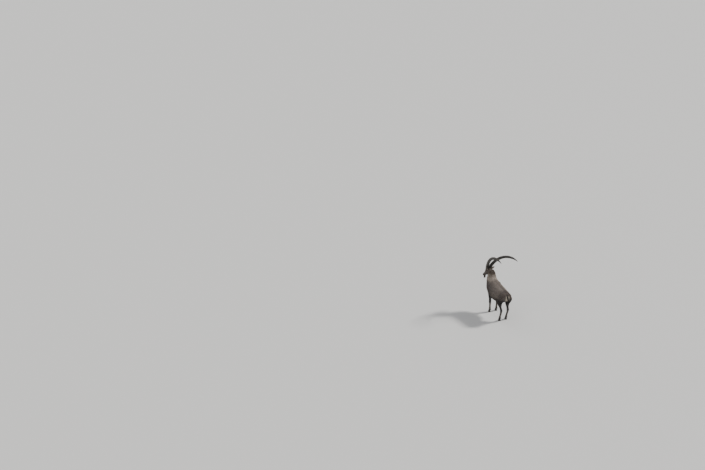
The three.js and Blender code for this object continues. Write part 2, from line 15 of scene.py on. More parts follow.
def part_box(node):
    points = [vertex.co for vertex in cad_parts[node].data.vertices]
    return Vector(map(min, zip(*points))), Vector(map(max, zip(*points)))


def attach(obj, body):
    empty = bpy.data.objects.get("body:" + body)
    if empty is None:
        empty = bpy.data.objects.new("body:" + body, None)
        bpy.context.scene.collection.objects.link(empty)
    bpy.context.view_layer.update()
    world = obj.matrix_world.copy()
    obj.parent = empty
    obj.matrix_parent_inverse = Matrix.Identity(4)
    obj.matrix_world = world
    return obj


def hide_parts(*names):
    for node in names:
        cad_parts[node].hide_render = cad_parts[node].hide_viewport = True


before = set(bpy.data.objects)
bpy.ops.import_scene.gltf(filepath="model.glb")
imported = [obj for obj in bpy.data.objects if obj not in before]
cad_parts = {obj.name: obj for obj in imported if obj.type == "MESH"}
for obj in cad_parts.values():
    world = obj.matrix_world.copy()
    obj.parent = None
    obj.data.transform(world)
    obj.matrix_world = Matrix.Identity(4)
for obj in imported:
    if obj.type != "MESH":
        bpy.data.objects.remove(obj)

LOG = logging.getLogger("ibex")
Array = np.ndarray
MM = 0.001
BODY = "root"
SEED = 20
LEG_KINDS = ("fore", "hind")
SIDEWAYS = np.array([1.0, 0, 0])
DOWN = np.array([0, 0, -1.0])


class Side(Enum):
    """The left or right of the animal; the value is the sign of X."""

    LEFT = 1
    RIGHT = -1

    @property
    def word(self) -> str:
        """The side's word in the names of pieces."""
        return self.name.lower()

    def place(self, at: tuple[float, ...] | Array) -> Array:
        """A place or a direction that is given for the left, on this side."""
        return np.array(at) * (self.value, 1, 1)


# Small tools: curves, rings, meshes and nodes.


def smooth(low: float, high: float, value: Array) -> Array:
    """A soft step of value.

    Args:
        low: where the step starts; it may be above high.
        high: where it ends.
        value: what is tested.

    Returns:
        0 before low, 1 past high.
    """
    t = np.clip((value - low) / (high - low), 0, 1)
    return t * t * (3 - 2 * t)


def spline(points: Array, t: Array) -> Array:
    """A centripetal Catmull-Rom curve.

    Args:
        points: one row per point that it passes through.
        t: places on it, 0 at the first point and 1 at the last.

    Returns:
        One row for each t.
    """
    p = np.asarray(points, float)
    last = len(p) - 1
    t = np.atleast_1d(np.asarray(t, float))
    i = np.minimum((t * last).astype(int), last - 1)
    w = (t * last - i)[:, None]
    padded = np.vstack([2 * p[0] - p[1], p, 2 * p[-1] - p[-2]])
    x0, x1, x2, x3 = (padded[i + k] for k in range(4))
    pairs = ((x0, x1), (x1, x2), (x2, x3))
    d = [np.maximum(((b - a) ** 2).sum(1) ** 0.25, 1e-6)[:, None] for a, b in pairs]
    m1 = ((x1 - x0) / d[0] - (x2 - x0) / (d[0] + d[1]) + (x2 - x1) / d[1]) * d[1]
    m2 = ((x2 - x1) / d[1] - (x3 - x1) / (d[1] + d[2]) + (x3 - x2) / d[2]) * d[1]
    return x1 + m1 * w + (-3 * x1 + 3 * x2 - 2 * m1 - m2) * w**2 + (2 * x1 - 2 * x2 + m1 + m2) * w**3


def unit(v: Array) -> Array:
    """Rows of v, each one unit long."""
    v = np.asarray(v, float)
    return v / np.maximum(np.linalg.norm(v, axis=-1, keepdims=True), 1e-12)


def ring(
    middle: Array, up: Array, down: Array, side: Array, count: int, box: float, ridge: float = 1
) -> Array:
    """One closed section.

    Args:
        middle: its middle.
        up: the half axis towards its top.
        down: the half axis towards its bottom.
        side: the half axis to one side.
        count: how many points it has.
        box: under 1 squares it.
        ridge: above 1 narrows its top.

    Returns:
        The points, from the top round.
    """
    angle = 2 * np.pi * np.arange(count) / count
    c, s = np.cos(angle), np.sin(angle)
    power = np.where(c > 0, box * ridge, box)
    across = np.sign(s) * np.abs(s) ** power
    height = np.abs(c)[:, None] ** box
    return middle + np.where(c[:, None] > 0, up, down) * height + across[:, None] * side


def place_verts(verts: list[bmesh.types.BMVert], points: Array) -> None:
    """Moves points of a bmesh.

    Args:
        verts: what to move.
        points: one row for each, in metres.
    """
    for vert, point in zip(verts, points):
        vert.co = point


def loft(bm: bmesh.types.BMesh, rings: list[Array]) -> None:
    """Adds a closed body through rings, with its edges always taken in the same order.

    Args:
        bm: where it goes.
        rings: sections of equally many points, in metres.
    """
    loops = []
    for points in rings:
        verts = bmesh.ops.create_circle(bm, segments=len(points), radius=1)["verts"]
        place_verts(verts, points)
        loops.append(list(dict.fromkeys(edge for vert in verts for edge in vert.link_edges)))
    for one, other in zip(loops, loops[1:]):
        bmesh.ops.bridge_loops(bm, edges=one + other)
    for end in (loops[0], loops[-1]):
        cap = bmesh.ops.edgeloop_fill(bm, edges=end)["faces"]
        bmesh.ops.poke(bm, faces=cap)


def read(items: bpy.types.bpy_prop_collection, name: str, width: int, kind: type = np.float32) -> Array:
    """Reads one property of all items of a mesh.

    Args:
        items: the mesh's points, corners or the like.
        name: the property.
        width: how many numbers each item has.
        kind: the numbers' type.

    Returns:
        One row for each item.
    """
    flat = np.zeros(len(items) * width, kind)
    items.foreach_get(name, flat)
    return flat.reshape(-1, width)


def write(
    items: bpy.types.bpy_prop_collection, name: str, values: Array, kind: type = np.float32
) -> None:
    """Writes one property of all items of a mesh.

    Args:
        items: the mesh's points, corners or the like.
        name: the property.
        values: as many numbers for each item as the property has.
        kind: the numbers' type.
    """
    items.foreach_set(name, np.asarray(values).astype(kind).ravel())


def new_object(name: str, mesh: bpy.types.Mesh) -> bpy.types.Object:
    """Makes a linked object with smooth faces.

    Args:
        name: its name.
        mesh: its mesh.

    Returns:
        The object.
    """
    made = bpy.data.objects.new(name, mesh)
    bpy.context.scene.collection.objects.link(made)
    write(mesh.polygons, "use_smooth", np.ones(len(mesh.polygons)), bool)
    return made


def finish_bmesh(name: str, bm: bmesh.types.BMesh) -> bpy.types.Object:
    """Turns a bmesh's faces outwards and makes it an object.

    Args:
        name: the object's name.
        bm: the bmesh, which is freed.

    Returns:
        The object.
    """
    bmesh.ops.recalc_face_normals(bm, faces=bm.faces)
    mesh = bpy.data.meshes.new(name)
    bm.to_mesh(mesh)
    bm.free()
    return new_object(name, mesh)


def points_of(mesh: bpy.types.Mesh) -> Array:
    """A mesh's points as rows."""
    return read(mesh.vertices, "co", 3).astype(float)


def normals_of(mesh: bpy.types.Mesh) -> Array:
    """A mesh's point normals as rows."""
    return read(mesh.vertex_normals, "vector", 3).astype(float)


def set_points(mesh: bpy.types.Mesh, points: Array) -> None:
    """Moves a mesh's points."""
    write(mesh.vertices, "co", points)
    mesh.update()


def paint(mesh: bpy.types.Mesh, name: str, colours: Array) -> None:
    """Stores one linear colour per point as an attribute.

    Args:
        mesh: what to paint.
        name: the attribute's name.
        colours: rows of three or four numbers.
    """
    rows = np.ones((len(colours), 4), np.float32)
    rows[:, : colours.shape[1]] = colours
    write(mesh.attributes.new(name, "FLOAT_COLOR", "POINT").data, "color", rows)


def linear(colour: str) -> Array:
    """A colour's linear values.

    Args:
        colour: sRGB hex, such as "#746b66".

    Returns:
        Linear red, green and blue.
    """
    srgb = np.array([int(colour[i : i + 2], 16) / 255 for i in (1, 3, 5)])
    return np.where(srgb <= 0.04045, srgb / 12.92, ((srgb + 0.055) / 1.055) ** 2.4)


def node(
    tree: bpy.types.NodeTree, kind: str, settings: dict | None = None, **inputs: object
) -> bpy.types.Node:
    """Adds a node with its settings and links.

    Args:
        tree: where it goes.
        kind: its type, without the words ShaderNode.
        settings: attributes of the node.
        inputs: socket names, with _ for a space, or i and a number; values are constants or sockets.

    Returns:
        The node.
    """
    made = tree.nodes.new("ShaderNode" + kind)
    for key, value in (settings or {}).items():
        setattr(made, key, value)
    for key, value in inputs.items():
        numbered = key[0] == "i" and key[1:].isdigit()
        socket = made.inputs[int(key[1:]) if numbered else key.replace("_", " ")]
        if isinstance(value, bpy.types.NodeSocket):
            tree.links.new(value, socket)
        else:
            socket.default_value = value
    return made


def new_material(
    name: str, **inputs: float | tuple[float, ...]
) -> tuple[bpy.types.Material, bpy.types.NodeTree, bpy.types.Node]:
    """Starts a material.

    Args:
        name: its name.
        inputs: constants of the shader's sockets, with _ for a space.

    Returns:
        The material, its node tree and its shader.
    """
    material = bpy.data.materials.new(name)
    material.use_nodes = True
    shader = material.node_tree.nodes["Principled BSDF"]
    for key, value in inputs.items():
        shader.inputs[key.replace("_", " ")].default_value = value
    return material, material.node_tree, shader


def set_stops(ramp: bpy.types.Node, *stops: tuple[float, str]) -> None:
    """Gives a colour ramp its stops.

    Args:
        ramp: the node.
        stops: the place and sRGB hex of each, in order.
    """
    elements = ramp.color_ramp.elements
    elements[0].position, elements[-1].position = stops[0][0], stops[-1][0]
    for place, _ in stops[1:-1]:
        elements.new(place)
    for element, (_, colour) in zip(elements, stops):
        element.color = (*linear(colour), 1)


def towards(azimuth: float, elevation: float) -> Vector:
    """The direction of a light or camera.

    Args:
        azimuth: degrees round from the front of the animal.
        elevation: degrees above the floor.

    Returns:
        A unit vector from the animal to it.
    """
    a, e = math.radians(azimuth), math.radians(elevation)
    return Vector((math.sin(a) * math.cos(e), -math.cos(a) * math.cos(e), math.sin(e)))


# The animal's build, in its own frame: millimetres, nose to -Y, soles at Z = 0, head not yet turned.


@dataclass(frozen=True)
class Station:
    """One section of the trunk or head: top and bottom as (y, z), half width, and where it is widest."""

    top: tuple[float, float]
    bottom: tuple[float, float]
    half: float
    level: float


@dataclass(frozen=True)
class LegStation:
    """One level section of a leg: its middle and its half sizes fore-and-aft and across."""

    x: float
    y: float
    z: float
    deep: float
    wide: float


def profile_rings(
    stations: list[Station], sides: int, steps: int, grow: float, box: float, ridge: float
) -> Array:
    """Sections through stations that have a top and a bottom.

    Args:
        stations: from one end to the other.
        sides: points a section.
        steps: sections a station.
        grow: share of the half width by which the sides go out.
        box: under 1 squares the sections.
        ridge: above 1 narrows their tops.

    Returns:
        Sections by points by coordinates, in millimetres.
    """
    t = np.linspace(0, 1, (len(stations) - 1) * steps + 1)
    top = spline([[*s.top, 0] for s in stations], t)
    bottom = spline([[*s.bottom, 0] for s in stations], t)
    size = spline([[s.half, s.level, 0] for s in stations], t)
    rings = []
    for high, low, (half, level, _) in zip(top, bottom, size):
        high, low = np.array([0, *high[:2]]), np.array([0, *low[:2]])
        lift = unit(high - low) * half * grow
        high, low = high + lift, low - lift
        middle = low + (high - low) * level
        across = np.array([half * (1 + grow), 0, 0])
        rings.append(ring(middle, high - middle, low - middle, across, sides, box, ridge))
    return np.array(rings)


def limb_rings(
    points: Array,
    sizes: Array,
    side: Array,
    sides: int,
    steps: int,
    box: float = 1,
    axis: Array | None = None,
) -> Array:
    """Sections along a path.

    Args:
        points: the path.
        sizes: (deep, wide) half sizes at its points.
        side: the constant sideways direction.
        sides: points a section.
        steps: sections a point.
        box: under 1 squares the sections.
        axis: the way that all sections face, if not along the path.

    Returns:
        Sections by points by coordinates, in the units given.
    """
    t = np.linspace(0, 1, (len(points) - 1) * steps + 1)
    path = spline(points, t)
    size = spline([[*s, 0] for s in sizes], t)
    tangent = unit(np.gradient(path, axis=0)) if axis is None else np.tile(axis, (len(t), 1))
    rings = []
    for middle, along, (deep, wide, _) in zip(path, tangent, size):
        back = unit(np.cross(side, along))
        rings.append(ring(middle, back * deep, -back * deep, side * wide, sides, box))
    return np.array(rings)


@dataclass
class Build:
    """Sizes shared by all pieces, with the moves from the animal's own frame to the row's.

    Lengths are in millimetres and angles in radians. Stance is how far each foot stands ahead of
    its place and out from it. The neck turns from bend_start over bend_length, and the throat's
    two directions bound the head behind and under. Places on the head are in the head's frame.
    """

    trunk: list[Station] = field(
        default_factory=lambda: [
            Station((522, 716), (506, 618), 66, 0.5),
            Station((502, 762), (485, 576), 120, 0.52),
            Station((428, 802), (414, 536), 148, 0.54),
            Station((330, 822), (322, 490), 161, 0.5),
            Station((215, 832), (211, 446), 182, 0.47),
            Station((75, 842), (77, 410), 212, 0.46),
            Station((-70, 858), (-70, 400), 216, 0.47),
            Station((-180, 886), (-190, 416), 202, 0.48),
            Station((-250, 912), (-305, 450), 186, 0.46),
            Station((-292, 940), (-430, 525), 170, 0.42),
            Station((-318, 973), (-496, 636), 148, 0.44),
            Station((-335, 1014), (-518, 738), 132, 0.47),
            Station((-352, 1056), (-520, 828), 118, 0.5),
            Station((-384, 1086), (-508, 904), 104, 0.52),
            Station((-428, 1108), (-492, 974), 86, 0.54),
            Station((-474, 1114), (-508, 1008), 60, 0.54),
        ]
    )
    head: list[Station] = field(
        default_factory=lambda: [
            Station((36, 34), (24, -58), 44, 0.55),
            Station((4, 54), (-8, -84), 60, 0.6),
            Station((-48, 66), (-48, -94), 65, 0.66),
            Station((-94, 64), (-92, -88), 63, 0.7),
            Station((-132, 50), (-132, -78), 52, 0.62),
            Station((-170, 36), (-170, -70), 43, 0.56),
            Station((-212, 24), (-212, -64), 38, 0.52),
            Station((-248, 14), (-246, -62), 38, 0.5),
            Station((-276, 4), (-270, -58), 34, 0.52),
            Station((-292, -10), (-284, -48), 22, 0.5),
        ]
    )
    foreleg: list[LegStation] = field(
        default_factory=lambda: [
            LegStation(104, -232, 812, 66, 40),
            LegStation(116, -290, 700, 104, 56),
            LegStation(116, -278, 600, 98, 54),
            LegStation(112, -244, 512, 78, 50),
            LegStation(108, -245, 430, 54, 42),
            LegStation(104, -248, 356, 39, 33),
            LegStation(102, -252, 296, 37, 34),
            LegStation(101, -246, 246, 29, 27),
            LegStation(100, -246, 182, 26, 24),
            LegStation(99, -248, 130, 28, 26),
            LegStation(99, -251, 100, 31, 29),
            LegStation(99, -264, 66, 26, 28),
            LegStation(99, -276, 40, 31, 31),
            LegStation(99, -284, 16, 28, 28),
        ]
    )
    hindleg: list[LegStation] = field(
        default_factory=lambda: [
            LegStation(76, 403, 712, 100, 56),
            LegStation(98, 390, 640, 126, 69),
            LegStation(107, 358, 566, 122, 68),
            LegStation(111, 320, 498, 102, 60),
            LegStation(108, 326, 436, 71, 47),
            LegStation(102, 357, 380, 47, 34),
            LegStation(98, 388, 342, 38, 29),
            LegStation(96, 407, 304, 39, 31),
            LegStation(96, 403, 256, 30, 26),
            LegStation(96, 384, 188, 26, 24),
            LegStation(96, 366, 132, 28, 26),
            LegStation(96, 356, 101, 31, 29),
            LegStation(96, 341, 66, 26, 28),
            LegStation(96, 328, 40, 31, 31),
            LegStation(96, 320, 16, 28, 28),
        ]
    )
    stance: dict[tuple[str, Side], tuple[float, float]] = field(
        default_factory=lambda: {
            ("fore", Side.LEFT): (-12, 4),
            ("fore", Side.RIGHT): (22, 0),
            ("hind", Side.LEFT): (10, 2),
            ("hind", Side.RIGHT): (44, 0),
        }
    )
    turn: float = math.radians(25)
    pitch: float = math.radians(38)
    tilt: float = math.radians(-9)
    bend_start: float = -300
    bend_length: float = 240
    head_origin: tuple[float, float, float] = (0, -488, 1076)
    throat: tuple[float, float, float] = (0, -58, -99)
    throat_behind: tuple[float, float, float] = (0, -0.78, 0.63)
    throat_under: tuple[float, float, float] = (0, -0.24, 0.97)
    throat_blend: tuple[float, float] = (-25, 15)
    eye_at: tuple[float, float, float] = (54, -100, 26)
    eye_out: tuple[float, float, float] = (0.93, -0.3, 0.16)
    eye_radius: float = 16.6
    mouth_at: tuple[float, float] = (-300, -33)
    mouth_slope: float = -0.073
    sole_front: float = 53
    cleft: float = 3.5
    shift: Array = field(init=False)
    head_turn: Array = field(init=False)
    head_at: Array = field(init=False)

    def __post_init__(self) -> None:
        """Finds the head's place, and the row's origin from one hoof."""
        turns = ((self.turn, "Z"), (self.pitch, "X"), (self.tilt, "Y"))
        first, second, third = (Matrix.Rotation(angle, 3, axis) for angle, axis in turns)
        self.head_turn = np.array(first @ second @ third)
        self.head_at = self.bend(np.array([self.head_origin]))[0]
        foot = self.leg_points("fore", Side.LEFT)[-2]
        low = np.array(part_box("hoof_fore_left_outer")[0]) / MM
        self.shift = np.array([low[0] - self.cleft / 2 - foot[0], low[1] + self.sole_front - foot[1], 0])

    def bend(self, points: Array) -> Array:
        """Turns the neck to the left ahead of bend_start.

        Args:
            points: rows in the animal's frame.

        Returns:
            The rows moved.
        """
        distance = np.maximum(self.bend_start - points[:, 1], 0)
        turn = self.turn * np.minimum(1, distance / self.bend_length)
        radius = self.bend_length / self.turn
        straight = np.maximum(0, distance - self.bend_length)
        x, s, c = points[:, 0], np.sin(turn), np.cos(turn)
        y = self.bend_start - radius * s - straight * c + x * s
        moved = np.column_stack([radius * (1 - c) + straight * s + x * c, y, points[:, 2]])
        return np.where(distance[:, None] > 0, moved, points)

    def leg(self, kind: str) -> list[LegStation]:
        """The sections of a fore or hind leg."""
        return self.foreleg if kind == "fore" else self.hindleg

    def leg_points(self, kind: str, side: Side) -> Array:
        """The middles of one leg's sections where the animal stands.

        Args:
            kind: fore or hind.
            side: left or right.

        Returns:
            Rows in the animal's frame.
        """
        leg = self.leg(kind)
        ahead, out = self.stance[kind, side]
        share = [min(1, max(0, 1 - s.z / leg[1].z) * 1.25) for s in leg]
        return np.array([[side.value * (s.x + out * k), s.y - ahead * k, s.z] for s, k in zip(leg, share)])

    def to_row(self, points: Array) -> Array:
        """The animal's frame to the row's, in metres."""
        return (np.asarray(points, float) + self.shift) * MM

    def from_row(self, points: Array) -> Array:
        """The row's frame to the animal's, in millimetres."""
        return points / MM - self.shift

    def head_to_body(self, points: Array) -> Array:
        """The head's frame to the animal's."""
        return np.asarray(points, float) @ self.head_turn.T + self.head_at

    def body_to_head(self, points: Array) -> Array:
        """The animal's frame to the head's."""
        return (points - self.head_at) @ self.head_turn

    def headness(self, points: Array) -> Array:
        """How far points belong to the head.

        Args:
            points: rows in the animal's frame.

        Returns:
            0 on the neck to 1 on the head, for each row.
        """
        local = self.body_to_head(points) - np.array(self.throat)
        behind, under = local @ np.array(self.throat_behind), local @ np.array(self.throat_under)
        return smooth(*self.throat_blend, np.minimum(behind, under))

    def mouth(self, y: Array) -> Array:
        """The height of the line between the lips, in the head's frame."""
        return self.mouth_at[1] + (y - self.mouth_at[0]) * self.mouth_slope

    def eye_axes(self, side: Side) -> tuple[Array, Array, Array]:
        """The eye's directions.

        Args:
            side: left or right.

        Returns:
            Across, up and out of the eye, in the head's frame.
        """
        out = unit(side.place(self.eye_out))
        up = unit(np.array([0, 0, 1.0]) - out * out[2])
        return np.cross(up, out), up, out


# Colours of the coat.


@dataclass(frozen=True)
class CoatColours:
    """An autumn coat, grey-brown and dark below, with painted sunlight on the back and nape and painted
    shade on shoulders, rump, thighs and lower flanks.

    Each field of colour is sRGB hex; the back's and the belly's lines are in millimetres.
    """

    flank: str = "#6f655c"
    back: str = "#83766a"
    shoulder: str = "#514641"
    rump: str = "#53473f"
    spine: str = "#4a3f37"
    collar: str = "#a39688"
    nape: str = "#8d8074"
    dark_belly: str = "#2b2623"
    pale_belly: str = "#9a8d7c"
    breast: str = "#352e2a"
    leg: str = "#272220"
    leg_behind: str = "#7c7063"
    rump_patch: str = "#c4b9a8"
    tail: str = "#2a231f"
    face: str = "#52473e"
    forehead: str = "#4f4234"
    muzzle: str = "#413529"
    nose: str = "#262120"
    eye_ring: str = "#857663"
    beard: str = "#33291f"
    ear: str = "#655a4f"
    ear_inside: str = "#a89b89"

    back_y: tuple[float, ...] = (-300, -180, 75, 430, 520)
    back_z: tuple[float, ...] = (930, 886, 842, 802, 730)
    belly_y: tuple[float, ...] = (-430, -300, -190, 75, 210, 320, 415, 520)
    belly_z: tuple[float, ...] = (525, 450, 416, 410, 446, 490, 536, 620)

    def at(self, build: Build, points: Array, normals: Array) -> Array:
        """The coat's colour.

        Args:
            build: the animal's sizes.
            points: rows in the animal's frame.
            normals: the surface's normals there.

        Returns:
            Linear colours.
        """
        layers = Layers(self, np.tile(linear(self.flank), (len(points), 1)))
        top = np.interp(points[:, 1], self.back_y, self.back_z)
        bottom = np.interp(points[:, 1], self.belly_y, self.belly_z)
        height = (points[:, 2] - bottom) / np.maximum(top - bottom, 1)
        self.mark_trunk(layers, points, normals, height)
        self.mark_neck(layers, points, normals, height)
        self.mark_legs(layers, points, normals, height)
        self.mark_head(layers, build.headness(points), build.body_to_head(points))
        return layers.colour

    def mark_trunk(self, layers: "Layers", points: Array, normals: Array, height: Array) -> None:
        """Lays the fields of back, flanks, belly and breast: a painted highlight on the back, painted shade
        on shoulders and rump, and dark lower flanks that are part marking and part painted shade.

        Args:
            layers: the colours so far.
            points: rows in the animal's frame.
            normals: the surface's normals there.
            height: 0 at the belly's line and 1 at the back's.
        """
        x, y, z = points.T
        up = normals[:, 2]
        # Painted highlight: the top of the trunk is paler, as if sunlit from above.
        layers.lay("back", smooth(0.6, 0.95, height) * 0.8)
        # Painted shade: the shoulders and lower front of the trunk are darkened.
        layers.lay("shoulder", smooth(60, -160, y) * smooth(1.05, 0.5, height) * 0.9)
        # Painted shade: the rear of the trunk is darkened.
        layers.lay("rump", smooth(180, 400, y) * 0.85)
        # Dark lower flanks: partly the coat's own marking, partly painted shade.
        layers.lay("dark_belly", smooth(0.5, 0.2, height) * smooth(-0.95, -0.6, up) * 0.92)
        layers.lay("breast", smooth(-330, -420, y) * smooth(760, 600, z))
        under = smooth(-0.8, -0.96, up) * smooth(-200, -80, y) * smooth(0.2, 0.06, height)
        layers.lay("pale_belly", under * smooth(110, 60, np.abs(x)) * 0.8)

    def mark_neck(self, layers: "Layers", points: Array, normals: Array, height: Array) -> None:
        """Lays the pale collar, the dark poll above it, a painted highlight on the nape and the line of the
        spine.

        Args:
            layers: the colours so far.
            points: rows in the animal's frame.
            normals: the surface's normals there.
            height: 0 at the belly's line and 1 at the back's.
        """
        x, y, z = points.T
        rear = normals[:, 1]
        layers.lay("collar", smooth(810, 880, z) * smooth(1075, 1000, z) * smooth(-200, -300, y))
        # Painted highlight: the back of the upper neck is paler, as if sunlit.
        layers.lay("nape", smooth(880, 1000, z) * smooth(0.25, 0.7, rear) * smooth(-200, -300, y) * 0.8)
        layers.lay("face", smooth(1035, 1085, z) * smooth(0.7, 0.2, rear) * 0.8)
        layers.lay("forehead", smooth(1010, 1060, z) * smooth(-0.1, 0.4, rear) * 0.85)
        line = np.exp(-((x / 22) ** 2)) * smooth(0.82, 0.97, height) * smooth(-330, -250, y)
        layers.lay("spine", line * 0.6)

    def mark_legs(self, layers: "Layers", points: Array, normals: Array, height: Array) -> None:
        """Lays the dark legs with their pale backs, painted shade on the hind thighs, and the patch under
        the tail.

        Args:
            layers: the colours so far.
            points: rows in the animal's frame.
            normals: the surface's normals there.
            height: 0 at the belly's line and 1 at the back's.
        """
        x, y, z = points.T
        leg = smooth(620, 440, z) * smooth(0.22, 0.0, height)
        layers.lay("leg", np.maximum(leg, smooth(430, 350, z)) * 0.96)
        # Painted shade: the hind thighs are darkened with the legs' colour.
        layers.lay("leg", smooth(660, 500, z) * smooth(190, 330, y) * 0.75)
        behind = smooth(0.35, 0.85, normals[:, 1])
        layers.lay("leg_behind", behind * smooth(330, 250, z) * smooth(60, 120, z) * 0.6)
        patch = np.exp(-((x / 50) ** 4)) * smooth(466, 500, y) * smooth(752, 720, z) * smooth(590, 650, z)
        layers.lay("rump_patch", patch)

    def mark_head(self, layers: "Layers", head: Array, local: Array) -> None:
        """Lays the fields of the face: forehead, muzzle, chin, eye rings, nose and lips.

        Args:
            layers: the colours so far.
            head: how far each point belongs to the head.
            local: rows in the head's frame.
        """
        x, y, z = np.abs(local[:, 0]), local[:, 1], local[:, 2]
        layers.lay("face", head)
        layers.lay("forehead", head * smooth(10, 48, z) * smooth(-200, -110, y))
        layers.lay("muzzle", head * smooth(-150, -215, y))
        layers.lay("muzzle", head * smooth(26, 8, x) * smooth(20, 40, z + y * 0.12 + 30) * 0.5)
        layers.lay("beard", head * smooth(-52, -60, z) * smooth(-190, -220, y) * smooth(-285, -268, y))
        eye = np.stack([(x - 60) / 24, (y + 100) / 30, (z - 26) / 20])
        layers.lay("eye_ring", head * np.exp(-((eye**2).sum(0) ** 2)) * 0.6)
        rim = ((y + 100) / 20) ** 2 + ((z - 25) / 13.5) ** 2
        layers.lay("nose", head * smooth(1.35, 0.95, rim) * smooth(36, 44, x))
        layers.lay("nose", head * smooth(-264, -278, y) * smooth(-34, -24, z))
        lips = np.exp(-(((z + 36 + (y + 250) * 0.02) / 4) ** 2))
        layers.lay("nose", head * smooth(-196, -215, y) * lips)


@dataclass
class Layers:
    """Linear colours of points, with fields of colour laid one over another."""

    colours: CoatColours
    colour: Array

    def lay(self, name: str, mask: Array) -> None:
        """Lays a field over the rest.

        Args:
            name: the field of CoatColours.
            mask: how much it covers at each point; it is held to 0 and 1.
        """
        mask = np.clip(mask, 0, 1)[:, None]
        self.colour = self.colour * (1 - mask) + linear(getattr(self.colours, name)) * mask


@dataclass(frozen=True)
class HairSurface:
    """Guard hair over underwool: dull, with a faint sheen, in clumps of centimetres and finer streaks."""

    name: str
    strength: float = 1.0
    rough: float = 0.82
    sheen: float = 0.25
    clump_mm: float = 55
    streak_mm: float = 5
    bump_mm: float = 1.2

    def make(self) -> bpy.types.Material:
        """Makes the material.

        Returns:
            A material that reads the coat attribute.
        """
        material, tree, shader = new_material(
            self.name,
            Roughness=self.rough,
            IOR=1.5,
            Specular_IOR_Level=0.25,
            Sheen_Weight=self.sheen,
            Sheen_Roughness=0.5,
        )
        colour = node(tree, "Attribute", {"attribute_name": "coat"}).outputs["Color"]
        place = node(tree, "TexCoord").outputs["Object"]
        clumps = node(tree, "TexNoise", None, Vector=place, Scale=1000 / self.clump_mm, Detail=3.0)
        streaks = node(tree, "TexNoise", None, Vector=place, Scale=1000 / self.streak_mm, Detail=2.0)
        middle = {"From_Min": 0.3, "From_Max": 0.7}
        light = node(tree, "MapRange", None, Value=clumps.outputs["Fac"], **middle, To_Min=0.78, To_Max=1.22)
        fine = node(tree, "MapRange", None, Value=streaks.outputs["Fac"], **middle, To_Min=0.86, To_Max=1.14)
        both = node(tree, "Math", {"operation": "MULTIPLY"}, i0=light.outputs[0], i1=fine.outputs[0])
        scaled = node(tree, "Math", {"operation": "MULTIPLY"}, i0=both.outputs[0], i1=self.strength)
        mixed = node(tree, "VectorMath", {"operation": "SCALE"}, i0=colour, Scale=scaled.outputs[0])
        depth = self.bump_mm * MM
        bump = node(tree, "Bump", None, Height=streaks.outputs["Fac"], Strength=0.6, Distance=depth)
        tree.links.new(mixed.outputs[0], shader.inputs["Base Color"])
        tree.links.new(bump.outputs[0], shader.inputs["Normal"])
        return material


# The skin.


@dataclass(frozen=True)
class Bump:
    """A rise or hollow of the skin: place, reach and height, all in millimetres, on both sides."""

    at: tuple[float, float, float]
    reach: tuple[float, float, float]
    height: float

    def raised(self, points: Array) -> Array:
        """How far it raises the skin.

        Args:
            points: rows in the frame of its place.

        Returns:
            Millimetres for each row; a bump on the middle line counts once.
        """
        moved = np.zeros(len(points))
        for side in Side:
            away = (points - side.place(self.at)) / np.array(self.reach)
            moved += self.height * np.exp(-(away**2).sum(1))
        return moved * (0.5 if self.at[0] == 0 else 1)


